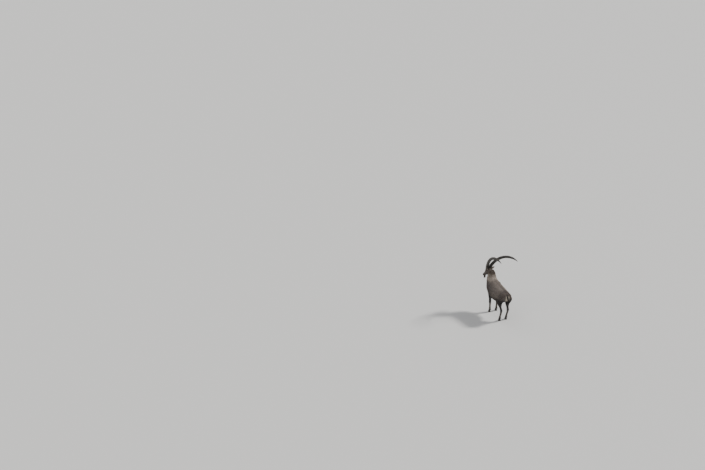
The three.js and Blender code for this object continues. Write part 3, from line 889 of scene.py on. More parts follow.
@dataclass
class Skin:
    """One closed skin over trunk, head and legs, drawn in from the solids by the depth of the coat.

    The insets are shares of the half widths, the balls are brow and cheek, forms are muscles and
    bones of the body, and face those of the head. Lengths are in millimetres, apart from voxel and
    trunk_floor, which are in metres.
    """

    build: Build
    voxel: float = 6.3 * MM
    trunk_inset: float = 0.055
    head_inset: float = 0.035
    leg_inset: float = 0.10
    eye_gap: float = 0.4
    eye_open: tuple[float, float] = (17.5, 11.5)
    lid: float = 3.0
    socket: float = 8
    lid_fold: float = 1.8
    mouth_depth: float = 3.6
    lip: float = 1.6
    nostril: tuple[tuple[float, float, float], ...] = (
        (11, -292, -19),
        (16, -287, -9),
        (23, -277, -5),
        (29, -267, -9),
    )
    nostril_in: tuple[float, float, float] = (-0.35, 0.9, -0.1)
    nostril_depth: float = 7
    nostril_rim: float = 1.6
    foot_cut: float = 34
    trunk_floor: float = 0.36
    trunk_rounds: int = 14
    rounds: int = 3
    balls: tuple[tuple[tuple[float, float, float], tuple[float, float, float]], ...] = (
        ((45, -90, 42), (24, 36, 20)),
        ((38, -58, -38), (26, 50, 46)),
    )
    forms: tuple[Bump, ...] = (
        Bump((138, -232, 770), (40, 26, 95), 7),
        Bump((150, -335, 650), (50, 45, 60), 6),
        Bump((160, -215, 570), (45, 55, 60), 5),
        Bump((200, -118, 640), (70, 48, 150), -6),
        Bump((180, 250, 650), (60, 55, 85), -10),
        Bump((110, 318, 806), (36, 42, 30), 8),
        Bump((72, 476, 720), (30, 30, 32), 6),
        Bump((160, 370, 600), (50, 80, 90), 7),
        Bump((140, 455, 560), (40, 18, 90), -5),
        Bump((105, -292, 300), (26, 16, 24), 3),
        Bump((98, 442, 312), (26, 16, 22), 4),
    )
    face: tuple[Bump, ...] = (
        Bump((44, -62, -40), (20, 42, 36), 4),
        Bump((46, -140, 0), (20, 34, 7), 3),
        Bump((42, -150, -26), (20, 30, 10), -3),
        Bump((50, -88, 50), (20, 26, 9), 4),
        Bump((0, -150, 60), (22, 60, 30), 2),
        Bump((30, -262, -16), (14, 18, 12), 3),
        Bump((22, -262, -48), (20, 22, 9), 2.5),
        Bump((0, -290, -28), (3, 12, 14), -2.5),
        Bump((52, -122, 10), (12, 9, 4), -3),
    )

    def rough_form(self) -> bpy.types.Mesh:
        """Joins the forms and remeshes them.

        Returns:
            One even closed surface.
        """
        b = self.build
        bm = bmesh.new()
        trunk = profile_rings(b.trunk, 72, 6, -self.trunk_inset, 1, 1.12)
        loft(bm, [b.to_row(b.bend(points)) for points in trunk])
        head = profile_rings(b.head, 56, 7, -self.head_inset, 0.86, 1)
        loft(bm, [b.to_row(b.head_to_body(points)) for points in head])
        for side in Side:
            for at, reach in self.balls:
                made = bmesh.ops.create_icosphere(bm, subdivisions=4, radius=1)["verts"]
                reach = np.array(reach) * (1 - self.head_inset)
                local = np.array([vert.co for vert in made]) * reach + side.place(at)
                place_verts(made, b.to_row(b.head_to_body(local)))
            for kind in LEG_KINDS:
                sizes = np.array([(s.deep, s.wide) for s in b.leg(kind)]) * (1 - self.leg_inset)
                rings = limb_rings(b.leg_points(kind, side), sizes, SIDEWAYS, 40, 6, 0.94, DOWN)
                loft(bm, [b.to_row(r) for r in rings if r[:, 2].mean() > self.foot_cut])
        rough = finish_bmesh("skin_rough", bm)
        remesh = rough.modifiers.new("one surface", "REMESH")
        remesh.mode, remesh.voxel_size, remesh.adaptivity = "VOXEL", self.voxel, 0
        made = bpy.data.meshes.new_from_object(rough.evaluated_get(bpy.context.evaluated_depsgraph_get()))
        bpy.data.objects.remove(rough)
        return made

    def refine(self, bm: bmesh.types.BMesh) -> None:
        """Splits the head's faces once, and those round the eyes, nose and mouth again.

        Args:
            bm: the skin, in metres.
        """

        def split(wanted: Array) -> None:
            """Splits edges in two.

            Args:
                wanted: true for each face whose edges are split.
            """
            bm.faces.ensure_lookup_table()
            edges = dict.fromkeys(edge for index in np.nonzero(wanted)[0] for edge in bm.faces[index].edges)
            bmesh.ops.subdivide_edges(bm, edges=list(edges), cuts=1, use_grid_fill=True)

        def middles() -> Array:
            """The middle of each face in the animal's frame."""
            return self.build.from_row(np.array([face.calc_center_median() for face in bm.faces]))

        split(self.build.headness(middles()) > 0.5)
        place = self.build.body_to_head(middles())
        out, ahead, high = np.abs(place[:, 0]), place[:, 1], np.abs(place[:, 2])
        eye = np.linalg.norm(place[:, 1:] - np.array(self.build.eye_at[1:]), axis=1)
        nose = (ahead < -204) & (out < 60) & (high < 90)
        split(((eye < 34) & (out > 30) & (out < 90)) | nose)

    def shape_body(self, points: Array, normals: Array) -> Array:
        """Raises muscles and bones.

        Args:
            points: rows in the animal's frame.
            normals: their normals.

        Returns:
            The rows moved.
        """
        return points + normals * sum(form.raised(points) for form in self.forms)[:, None]

    def shape_head(self, points: Array, normals: Array) -> Array:
        """Sets eye sockets and lids, nostrils, lips and the bones of the face.

        Args:
            points: rows in the head's frame.
            normals: their normals in that frame.

        Returns:
            The rows moved.
        """
        moved = sum(form.raised(points) for form in self.face)
        above = points[:, 2] - self.build.mouth(points[:, 1])
        muzzle = smooth(-198, -212, points[:, 1])
        moved -= self.mouth_depth * muzzle * np.exp(-((above / 2.3) ** 2))
        moved += self.lip * muzzle * np.exp(-(((above - 6) / 4) ** 2))
        points = points + normals * moved[:, None]
        for side in Side:
            points = self.open_nostril(points, side)
            points = self.open_lids(points, side)
        return points

    def open_nostril(self, points: Array, side: Side) -> Array:
        """Sinks one comma-shaped nostril with a raised rim.

        Args:
            points: rows in the head's frame.
            side: left or right.

        Returns:
            The rows moved.
        """
        line = side.place(spline(self.nostril, np.linspace(0, 1, 24)))
        near = np.linalg.norm(points[:, None] - line[None], axis=2).min(1)
        sunk = self.nostril_depth * np.exp(-((near / 3.6) ** 2))
        raised = self.nostril_rim * np.exp(-(((near - 6.2) / 2.4) ** 2))
        return points + unit(side.place(self.nostril_in)) * (sunk - raised)[:, None]

    def open_lids(self, points: Array, side: Side) -> Array:
        """Sinks the skin behind one eyeball and raises the two lids round it.

        Args:
            points: rows in the head's frame.
            side: left or right.

        Returns:
            The rows moved.
        """
        along, up, out = self.build.eye_axes(side)
        local = points - side.place(self.build.eye_at)
        a, b, height = local @ along, local @ up, local @ out
        wide, high = self.eye_open
        droop = b + 0.6 - 1.6 * np.exp(-((a / 9) ** 2))
        reach = np.sqrt((a / wide) ** 2 + (droop / high) ** 2)
        radius = self.build.eye_radius + self.eye_gap
        ball = np.sqrt(np.maximum(radius**2 - a**2 - b**2, 0))
        near = (height > -12) & (reach < 2.6)
        lid = ball + self.lid * smooth(0.92, 1.08, reach) - self.socket * smooth(1.0, 0.86, reach)
        lid = np.where(ball > 0, lid, height)
        blend = smooth(1.75, 1.2, reach) * near
        fold = self.lid_fold * np.exp(-(((reach - 1.42) / 0.12) ** 2)) * near * (b > -4)
        return points + out * ((lid - height) * blend - fold)[:, None]

    def make(self, colours: CoatColours, surface: HairSurface) -> bpy.types.Object:
        """Builds the skin.

        Args:
            colours: its markings.
            surface: its finish.

        Returns:
            The skin as a piece that stands for all the flesh nodes.
        """
        mesh = self.rough_form()
        bm = bmesh.new()
        bm.from_mesh(mesh)
        axes = {"use_axis_x": True, "use_axis_y": True, "use_axis_z": True}
        trunk = [vert for vert in bm.verts if vert.co.z > self.trunk_floor]
        for verts, times in ((trunk, self.trunk_rounds), (bm.verts[:], self.rounds)):
            for _ in range(times):
                bmesh.ops.smooth_vert(bm, verts=verts, factor=0.5, **axes)
        self.refine(bm)
        bm.to_mesh(mesh)
        bm.free()
        mesh.update()
        b = self.build
        body = self.shape_body(b.from_row(points_of(mesh)), normals_of(mesh))
        set_points(mesh, b.to_row(body))
        local = b.body_to_head(body)
        head = (b.headness(body) > 0.02) & (np.abs(local[:, 0]) < 110)
        moved = local.copy()
        moved[head] = self.shape_head(local[head], normals_of(mesh)[head] @ b.head_turn)
        body[head] = b.head_to_body(moved[head])
        set_points(mesh, b.to_row(body))
        paint(mesh, "coat", colours.at(b, body, normals_of(mesh)))
        mesh.materials.clear()
        mesh.materials.append(surface.make())
        piece = new_object("skin", mesh)
        flesh = ["torso", "neck", "head"]
        for kind in LEG_KINDS:
            for side in Side:
                flesh += [f"{kind}leg_{side.word}_{part}" for part in ("upper", "lower")]
        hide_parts(*flesh)
        return piece


# The coat.


@dataclass
class Tufts:
    """Arrays that describe tufts, one row each, in the animal's frame and millimetres."""

    root: Array
    normal: Array
    flow: Array
    length: Array
    width: Array
    lift: Array
    colour: Array

    def pick(self, chosen: Array) -> "Tufts":
        """The chosen rows."""
        return Tufts(*(value[chosen] for value in vars(self).values()))


@dataclass
class TuftMaker:
    """Turns rows of tufts into closed, flat, tapered and bent locks of hair.

    The shares of the length have sections of the widths given, and thick is the height of a
    section as a share of its width. Droop bends the tip back to the skin, and sink sets the lock
    into it. Patch is a tuft's size on the OFBake map.
    """

    build: Build
    shares: tuple[float, ...] = (0, 0.42, 0.78)
    widths: tuple[float, ...] = (0.75, 1.0, 0.6)
    thick: float = 0.3
    patch: float = 0.003
    droop: float = 0.5
    sink: float = 0.045
    root_tone: float = 0.72
    tip_tone: float = 0.5

    def atlas(self, points: Array, normals: Array) -> Array:
        """Where roots lie on an unwrap of the skin: trunk, head and legs from each side.

        Args:
            points: rows in the animal's frame.
            normals: their normals.

        Returns:
            One row of two numbers for each root.
        """

        def chart(value: Array, low: float | Array, span: float, start: float, width: float) -> Array:
            """Lays a range of places on a range of the map.

            Args:
                value: places in millimetres.
                low: where their range starts.
                span: how long it is.
                start: where it goes on the map.
                width: how long it is there.

            Returns:
                Places on the map.
            """
            return start + width * np.clip((value - low) / span, 0, 1)

        _, y, z = points.T
        _, y_head, z_head = self.build.body_to_head(points).T
        head = self.build.headness(points) > 0.5
        right = (normals[:, 0] < 0).astype(float)
        leg = (z < 420) & ~head
        rear = (y > 60).astype(float)
        far = (points[:, 0] < 0).astype(float)
        cell = 4 * rear + 2 * far + right
        foot = np.where(rear > 0, 300, -330)
        u_head = chart(y_head, -320, 380, 0.01, 0.23) + 0.25 * right
        u_leg = chart(y, foot, 190, 0.005, 0.115) + 0.125 * cell
        u_trunk = chart(y, -700, 1300, 0.01, 0.48) + 0.5 * right
        v_head, v_leg = chart(z_head, -130, 230, 0.26, 0.23), chart(z, 0, 430, 0.005, 0.24)
        v_trunk = chart(z, 380, 860, 0.51, 0.48)
        u = np.where(head, u_head, np.where(leg, u_leg, u_trunk))
        v = np.where(head, v_head, np.where(leg, v_leg, v_trunk))
        return np.column_stack([u, v])

    def make(self, name: str, tufts: Tufts, material: bpy.types.Material, slot: str) -> bpy.types.Object:
        """Builds one piece of coat.

        Args:
            name: the piece's name.
            tufts: its tufts.
            material: its finish.
            slot: not used.

        Returns:
            The piece.
        """
        count, rows = len(tufts.root), len(self.shares)
        normal = unit(tufts.normal)
        flat = unit(tufts.flow - normal * (tufts.flow * normal).sum(1, keepdims=True))
        lift = tufts.lift[:, None]
        along = flat * np.cos(lift) + normal * np.sin(lift)
        side = unit(np.cross(normal, flat))
        length, width = tufts.length[:, None], tufts.width[:, None]

        def middle(share: float) -> Array:
            """The tufts' lines at a share of their length."""
            fall = normal * (np.sin(lift) * self.droop * share**2 + self.sink)
            return tufts.root + length * (along * share - fall)

        points = np.zeros((count, rows * 3 + 1, 3))
        for i, (share, wide) in enumerate(zip(self.shares, self.widths)):
            half = side * width * wide / 2
            points[:, 3 * i] = middle(share) - half
            points[:, 3 * i + 1] = middle(share) + normal * width * wide * self.thick
            points[:, 3 * i + 2] = middle(share) + half
        points[:, -1] = middle(1)
        faces = [(2, 1, 0)]
        for i in range(rows - 1):
            for k in range(3):
                a, b = 3 * i + k, 3 * i + (k + 1) % 3
                faces.append((a, b, b + 3, a + 3))
        last = 3 * (rows - 1)
        faces += [(last + k, last + (k + 1) % 3, 3 * rows) for k in range(3)]
        sizes = np.tile([len(f) for f in faces], count)
        corners = np.concatenate([np.array(f) for f in faces])
        index = (corners[None] + (np.arange(count) * (rows * 3 + 1))[:, None]).ravel()
        mesh = bpy.data.meshes.new(name)
        mesh.vertices.add(count * (rows * 3 + 1))
        mesh.loops.add(len(index))
        mesh.polygons.add(len(sizes))
        write(mesh.vertices, "co", self.build.to_row(points.reshape(-1, 3)))
        write(mesh.loops, "vertex_index", index, np.int32)
        write(mesh.polygons, "loop_start", np.concatenate([[0], np.cumsum(sizes)[:-1]]), np.int32)
        mesh.update(calc_edges=True)
        share = np.array([s for s in self.shares for _ in range(3)] + [1.0])
        across = np.array([0, 0.5, 1.0] * rows + [0.5])
        tone = self.root_tone + self.tip_tone * share
        colour = tufts.colour[:, None] * tone[None, :, None]
        paint(mesh, "coat", colour.reshape(-1, 3))
        spot = self.patch * np.stack([across - 0.5, share - 0.5], 1)
        corner = self.atlas(tufts.root, normal)[:, None] + spot[None]
        uv = mesh.uv_layers.new(name="OFBake")
        write(uv.data, "uv", corner.reshape(-1, 2)[index])
        mesh.materials.append(material)
        piece = new_object(name, mesh)
        return piece


@dataclass(frozen=True)
class Region:
    """How hair grows on a part of the body: its way, and its length in millimetres."""

    way: tuple[float, float, float]
    length: float


@dataclass
class Coat:
    """Hair over the whole skin: longest on neck and belly, shortest on face and feet.

    Spacings and widths are in millimetres, lean in degrees, and the spreads are the least and most
    that a tuft's own value is multiplied by.
    """

    build: Build
    maker: TuftMaker
    piece_limit: int = 11000
    trunk: Region = Region((0, 0.93, -0.36), 37)
    belly: Region = Region((0, 0.99, -0.05), 42)
    thigh: Region = Region((0, 0.45, -0.9), 24)
    rump: Region = Region((0, 0.25, -0.97), 26)
    neck: Region = Region((0, 0.42, -0.9), 50)
    leg: Region = Region((0, 0.12, -1), 15)
    face_length: float = 9.5
    poll_length: float = 12
    face_spacing: float = 2.75
    leg_spacing: float = 4.3
    body_spacing: float = 5.05
    leg_top: float = 380
    slimness: float = 0.24
    width_range: tuple[float, float] = (1.3, 5.6)
    size_spread: tuple[float, float] = (0.75, 1.2)
    lean: tuple[float, float] = (9, 21)
    tone_spread: tuple[float, float] = (0.78, 1.24)
    stray: float = 0.13

    def lay(
        self, points: Array, normals: Array, spacing: Array, colours: CoatColours, draw: np.random.Generator
    ) -> Tufts:
        """Gives each root its length, width, lean and colour.

        Args:
            points: roots in the animal's frame.
            normals: the skin's normals there.
            spacing: distance between roots.
            colours: the markings.
            draw: the random numbers.

        Returns:
            The tufts.
        """
        count = len(points)
        _, y, z = points.T
        head = self.build.headness(points)
        x_head, y_head, z_head = self.build.body_to_head(points).T
        leg = smooth(480, self.leg_top, z)
        belly = smooth(-0.2, -0.7, normals[:, 2]) * (1 - leg)
        flow = np.tile(self.trunk.way, (count, 1))
        length = np.full(count, float(self.trunk.length))
        for mask, region in (
            (belly, self.belly),
            (smooth(640, 520, z) * (1 - belly), self.thigh),
            (smooth(420, 480, y) * (1 - leg), self.rump),
            (smooth(860, 960, z) * smooth(-250, -330, y), self.neck),
            (leg, self.leg),
        ):
            flow = flow * (1 - mask[:, None]) + np.array(region.way) * mask[:, None]
            length = length * (1 - mask) + region.length * mask
        fall = np.where(z_head > 0, 0.05, -0.3)
        facing = np.column_stack([0.25 * np.sign(x_head), np.full(count, 1.0), fall])
        flow = flow * (1 - head[:, None]) + (facing @ self.build.head_turn.T) * head[:, None]
        flow = unit(flow) + draw.normal(0, self.stray, (count, 3))
        length = length * (1 - head) + self.face_length * head
        length = length + head * smooth(-90, -20, y_head) * smooth(30, 50, z_head) * self.poll_length
        length = length * (1 - 0.3 * smooth(200, 90, z))
        length = length * (1 - 0.45 * head * smooth(-190, -260, y_head))
        length *= draw.uniform(*self.size_spread, count)
        width = np.clip(np.minimum(length * self.slimness, spacing), *self.width_range)
        width = width * draw.uniform(*self.size_spread, count)
        lift = np.radians(draw.uniform(*self.lean, count)) * (1 - 0.2 * leg)
        colour = colours.at(self.build, points, normals) * draw.uniform(*self.tone_spread, (count, 1))
        return Tufts(points, normals, flow, length, width, lift, colour)

    def bare(self, points: Array) -> Array:
        """Where no tuft grows: nose, lips, lids, horn bases, and inside the hooves.

        Args:
            points: rows in the animal's frame.

        Returns:
            True for each row that stays bare.
        """
        local = self.build.body_to_head(points)
        x, y, z = np.abs(local[:, 0]), local[:, 1], local[:, 2]
        nose = (y < -268) & (z > -30)
        lips = (y < -205) & (np.abs(z - self.build.mouth(y)) < 3.2)
        eye = (((y + 100) / 17) ** 2 + ((z - 25) / 12) ** 2 < 1) & (x > 40)
        horn = (((x - 37) / 32) ** 2 + ((y + 58) / 42) ** 2 < 1) & (z > 30)
        face = (self.build.headness(points) > 0.5) & (nose | lips | eye | horn)
        return face | (points[:, 2] < 44)

    def make(
        self, skin: bpy.types.Object, colours: CoatColours, surface: HairSurface
    ) -> list[bpy.types.Object]:
        """Scatters tufts evenly over the skin, and sorts them into pieces from nose to tail.

        Args:
            skin: the finished skin.
            colours: its markings.
            surface: the hair's finish.

        Returns:
            The pieces.
        """
        draw = np.random.default_rng(SEED)
        mesh = skin.data
        co, normals = points_of(mesh), normals_of(mesh)
        mesh.calc_loop_triangles()
        corners = read(mesh.loop_triangles, "vertices", 3, np.int32)
        a, b, c = (co[corners[:, k]] for k in range(3))
        area = np.linalg.norm(np.cross(b - a, c - a), axis=1) / 2 / MM**2
        middle = self.build.from_row((a + b + c) / 3)
        spacing = np.where(middle[:, 2] < self.leg_top, self.leg_spacing, self.body_spacing)
        spacing = np.where(self.build.headness(middle) > 0.5, self.face_spacing, spacing)
        wanted = area / spacing**2
        number = np.floor(wanted + draw.random(len(wanted))).astype(int)
        chosen = np.repeat(np.arange(len(wanted)), number)
        r1, r2 = np.sqrt(draw.random(len(chosen))), draw.random(len(chosen))
        weights = np.stack([1 - r1, r1 * (1 - r2), r1 * r2], 1)
        root = sum(weights[:, [k]] * co[corners[chosen, k]] for k in range(3))
        normal = unit(sum(weights[:, [k]] * normals[corners[chosen, k]] for k in range(3)))
        root = self.build.from_row(root)
        keep = ~self.bare(root)
        tufts = self.lay(root[keep], normal[keep], spacing[chosen][keep], colours, draw)
        order = np.argsort(tufts.root[:, 1] - 0.6 * tufts.root[:, 2])
        material = surface.make()
        groups = np.array_split(order, math.ceil(len(order) / self.piece_limit))
        LOG.info("coat: %d tufts in %d pieces", len(order), len(groups))
        return [
            self.maker.make(f"coat_{i:02d}", tufts.pick(group), material, "coat")
            for i, group in enumerate(groups, 1)
        ]


# Horns, eyes, ears, hooves, beard and tail.


@dataclass(frozen=True)
class HornSurface:
    """Keratin sheath: fibres along it, dark in the grooves and worn paler on the knobs; satin."""

    name: str = "horn_keratin_weathered"
    groove: str = "#17130e"
    body: str = "#2c251b"
    crest: str = "#5b4d3a"
    fibre_mm: float = 2.5
    fibre_run: float = 22
    stain_mm: float = 40
    ring_mm: float = 7
    bump_mm: float = 1.4

    def make(self) -> bpy.types.Material:
        """Makes the material.

        Returns:
            A material that reads the wear attribute and the horn's own UV map.
        """
        material, tree, shader = new_material(self.name, Roughness=0.5, IOR=1.54)
        wear = node(tree, "Attribute", {"attribute_name": "wear"}).outputs["Fac"]
        uv = node(tree, "UVMap", {"uv_map": "along"}).outputs["UV"]
        times, add = {"operation": "MULTIPLY"}, {"operation": "MULTIPLY_ADD"}
        stretched = node(tree, "VectorMath", times, i0=uv, i1=(1000 / self.fibre_mm, self.fibre_run, 1))
        fibres = node(tree, "TexNoise", None, Vector=stretched.outputs[0], Scale=1.0, Detail=3.0)
        place = node(tree, "TexCoord").outputs["Object"]
        scale = 1000 / self.stain_mm
        stains = node(tree, "TexNoise", None, Vector=place, Scale=scale, Detail=3.0, Roughness=0.6)
        mottled = node(tree, "Math", add, i0=stains.outputs["Fac"], i1=0.35, i2=wear)
        streaked = node(tree, "Math", add, i0=fibres.outputs["Fac"], i1=0.6, i2=mottled.outputs[0])
        ramp = node(tree, "ValToRGB", None, Fac=streaked.outputs[0])
        set_stops(ramp, (0.42, self.groove), (0.72, self.body), (1.0, self.crest))
        bands, scale = {"bands_direction": "Y"}, 1000 / self.ring_mm / 20
        rings = node(tree, "TexWave", bands, Vector=uv, Scale=scale, Distortion=1.5, Detail=3.0)
        both = node(tree, "Math", add, i0=rings.outputs["Fac"], i1=0.6, i2=fibres.outputs["Fac"])
        depth = self.bump_mm * MM
        bump = node(tree, "Bump", None, Height=both.outputs[0], Strength=1.0, Distance=depth)
        tree.links.new(ramp.outputs[0], shader.inputs["Base Color"])
        tree.links.new(bump.outputs[0], shader.inputs["Normal"])
        return material


@dataclass
class Horns:
    """Two horns that rise from the skull and sweep back, with knobs on the broad front face.

    Depth and width are half sizes at the root. The taper is what is lost evenly, with its power, and
    what is lost again from tip_start on. Knobs cover the knobbed share, and each one's profile is
    its rise over its own length. Inside is how far the horn starts within the skull.
    """

    build: Build
    root: tuple[float, float, float] = (37, -58, 44)
    length: float = 962
    rise: float = math.radians(75)
    turn: float = math.radians(101)
    late_bend: float = 1.13
    spread: float = math.radians(13.5)
    lean: float = math.radians(12.8)
    depth: float = 46
    width: float = 31
    knobs: int = 19
    knob_height: float = 9
    knobbed: float = 0.86
    knob_profile: tuple[float, ...] = (0, 0.62, 1, 0.4, 0)
    knob_spread: tuple[float, float] = (0.75, 1.15)
    rings_a_knob: int = 10
    tip_rings: int = 26
    taper_loss: float = 0.46
    taper_power: float = 1.15
    tip_loss: float = 0.44
    tip_start: float = 0.72
    inside: float = 32
    sides: int = 36
    steps: int = 40
    cap_wear: float = 0.3
    girth: float = 0.2

    def line(self, side: Side) -> tuple[Array, Array]:
        """The horn's middle line.

        Args:
            side: left or right.

        Returns:
            Its points and its sideways direction, in the head's frame.
        """
        upright = Matrix.Rotation(-self.build.pitch, 3, "X")
        spread = Matrix.Rotation(-side.value * self.spread, 3, "Z")
        lean = Matrix.Rotation(side.value * self.lean, 3, "Y")
        turned = np.array(upright @ spread @ lean)
        share = (np.arange(self.steps) + 0.5) / self.steps
        rise = self.rise - self.turn * share**self.late_bend
        way = np.column_stack([np.zeros(self.steps), np.cos(rise), np.sin(rise)]) @ turned.T
        way = way * (self.length / self.steps)
        start = side.place(self.root)
        return np.vstack([start, start + np.cumsum(way, axis=0)]), turned[:, 0]

    def taper(self, share: float) -> float:
        """The thickness at a share of the length, as a share of that at the root."""
        tip = max(0, (share - self.tip_start) / (1 - self.tip_start))
        return 1 - self.taper_loss * max(0, share) ** self.taper_power - self.tip_loss * tip**2

    def sections(self, side: Side) -> tuple[Array, Array, Array]:
        """The horn's sections from root to tip.

        Args:
            side: left or right.

        Returns:
            Their shares of the length, their points in the head's frame, and the wear there.
        """
        draw = np.random.default_rng(SEED + side.value)
        points, across = self.line(side)
        count = self.knobs * self.rings_a_knob
        marks = self.knobbed * np.arange(count) / count
        marks = np.concatenate([marks, np.linspace(self.knobbed, 1, self.tip_rings)])
        marks[0] = -self.inside / self.length
        ahead = spline(points, np.minimum(marks + 1e-3, 1)) - spline(points, np.maximum(marks - 1e-3, 0))
        strength = draw.uniform(*self.knob_spread, self.knobs + 1)
        face = np.clip(np.cos(2 * np.pi * np.arange(self.sides) / self.sides), 0, 1)
        quarters = np.linspace(0, 1, len(self.knob_profile))
        rings, wear = [], []
        for i, (t, middle, tangent) in enumerate(zip(marks, spline(points, marks), unit(ahead))):
            phase = (i % self.rings_a_knob) / self.rings_a_knob if t < self.knobbed else 0
            knob = np.interp(phase, quarters, self.knob_profile)
            knob *= strength[min(i // self.rings_a_knob, self.knobs)]
            ridge = knob * self.knob_height * (1 - 0.55 * t)
            front = unit(np.cross(across, tangent))
            deep = self.depth * self.taper(t)
            half = self.width * self.taper(t) + ridge * 0.22
            top, bottom = front * (deep + ridge), -front * deep * 0.92
            rings.append(ring(middle, top, bottom, across * half, self.sides, 0.82))
            wear.append(0.08 + 0.42 * knob * face + 0.05 * (1 - t))
        return marks, np.array(rings), np.array(wear)

    def make_one(self, side: Side, material: bpy.types.Material) -> bpy.types.Object:
        """Builds one horn.

        Args:
            side: left or right.
            material: its finish.

        Returns:
            The piece.
        """
        marks, rings, wear = self.sections(side)
        bm = bmesh.new()
        loft(bm, [self.build.to_row(self.build.head_to_body(r)) for r in rings])
        piece = finish_bmesh(f"horn_{side.word}_keratin", bm)
        mesh = piece.data
        worn = mesh.attributes.new("wear", "FLOAT", "POINT")
        write(worn.data, "value", np.concatenate([wear.ravel(), [self.cap_wear] * 2]))
        number = np.arange(len(mesh.vertices))
        round_it = np.where(number < wear.size, (number % self.sides) / self.sides, 0)
        along = marks[np.minimum(number // self.sides, len(rings) - 1)] * self.length * MM
        flat = np.column_stack([(0.5 - np.abs(round_it - 0.5)) * self.girth, along])
        uv = mesh.uv_layers.new(name="along")
        write(uv.data, "uv", flat[read(mesh.loops, "vertex_index", 1, np.int32).ravel()])
        mesh.materials.append(material)
        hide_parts(f"horn_{side.word}")
        return piece

    def make(self, surface: HornSurface) -> list[bpy.types.Object]:
        """Builds both horns."""
        material = surface.make()
        return [self.make_one(side, material) for side in Side]


@dataclass(frozen=True)
class EyeSurface:
    """A wet eye: an amber iris with a dark rim, a level slit of a pupil, and a clear gloss over all."""

    name: str = "eye_wet"
    white: str = "#3a2a1c"
    iris: str = "#7c571f"
    rim: str = "#3b2410"
    pupil: str = "#0a0a0e"
    pupil_half: tuple[float, float] = (0.5, 0.19)

    def make(self) -> bpy.types.Material:
        """Makes the material.

        Returns:
            A material that reads the gaze attribute: across, up and out of the eye, in its radii.
        """
        material, tree, shader = new_material(
            self.name, Roughness=0.06, IOR=1.38, Coat_Weight=1.0, Coat_Roughness=0.03
        )
        gaze = node(tree, "Attribute", {"attribute_name": "gaze"}).outputs["Vector"]
        parts = node(tree, "SeparateXYZ", None, Vector=gaze).outputs
        flat = node(tree, "CombineXYZ", None, X=parts["X"], Y=parts["Y"])
        reach = node(tree, "VectorMath", {"operation": "LENGTH"}, i0=flat.outputs[0]).outputs["Value"]
        ring_colour = node(tree, "ValToRGB", None, Fac=reach)
        set_stops(ring_colour, (0.25, self.iris), (0.64, self.rim), (0.72, self.white))
        powers = []
        for axis, half in (("X", self.pupil_half[0]), ("Y", self.pupil_half[1])):
            scaled = node(tree, "Math", {"operation": "MULTIPLY"}, i0=parts[axis], i1=1 / half)
            plain = node(tree, "Math", {"operation": "ABSOLUTE"}, i0=scaled.outputs[0])
            powers.append(node(tree, "Math", {"operation": "POWER"}, i0=plain.outputs[0], i1=4.0).outputs[0])
        slit = node(tree, "Math", {"operation": "ADD"}, i0=powers[0], i1=powers[1])
        ends = {"From_Min": 0.8, "From_Max": 1.3, "To_Min": 1.0, "To_Max": 0.0}
        inside = node(tree, "MapRange", None, Value=slit.outputs[0], **ends)
        pupil = (*linear(self.pupil), 1)
        mix = {"data_type": "RGBA"}
        colour = node(tree, "Mix", mix, i0=inside.outputs[0], i6=ring_colour.outputs[0], i7=pupil)
        tree.links.new(colour.outputs[2], shader.inputs["Base Color"])
        return material


@dataclass
class Eyes:
    """Two eyeballs set deep between their lids."""

    build: Build
    bulge: float = 0.05

    def make_one(self, side: Side, material: bpy.types.Material) -> bpy.types.Object:
        """Builds one eyeball.

        Args:
            side: left or right.
            material: its finish.

        Returns:
            The piece.
        """
        b = self.build
        bm = bmesh.new()
        bmesh.ops.create_uvsphere(bm, u_segments=40, v_segments=28, radius=1)
        local = np.array([vert.co for vert in bm.verts])
        bulge = 1 + self.bulge * smooth(0.75, 1, local[:, 2])
        place = (local * bulge[:, None]) @ np.array(b.eye_axes(side)) * b.eye_radius
        place_verts(bm.verts, b.to_row(b.head_to_body(place + side.place(b.eye_at))))
        piece = finish_bmesh(f"eyeball_{side.word}", bm)
        write(piece.data.attributes.new("gaze", "FLOAT_VECTOR", "POINT").data, "vector", local)
        piece.data.materials.append(material)
        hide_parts(f"eye_{side.word}")
        return piece

    def make(self, surface: EyeSurface) -> list[bpy.types.Object]:
        """Builds both eyeballs."""
        material = surface.make()
        return [self.make_one(side, material) for side in Side]


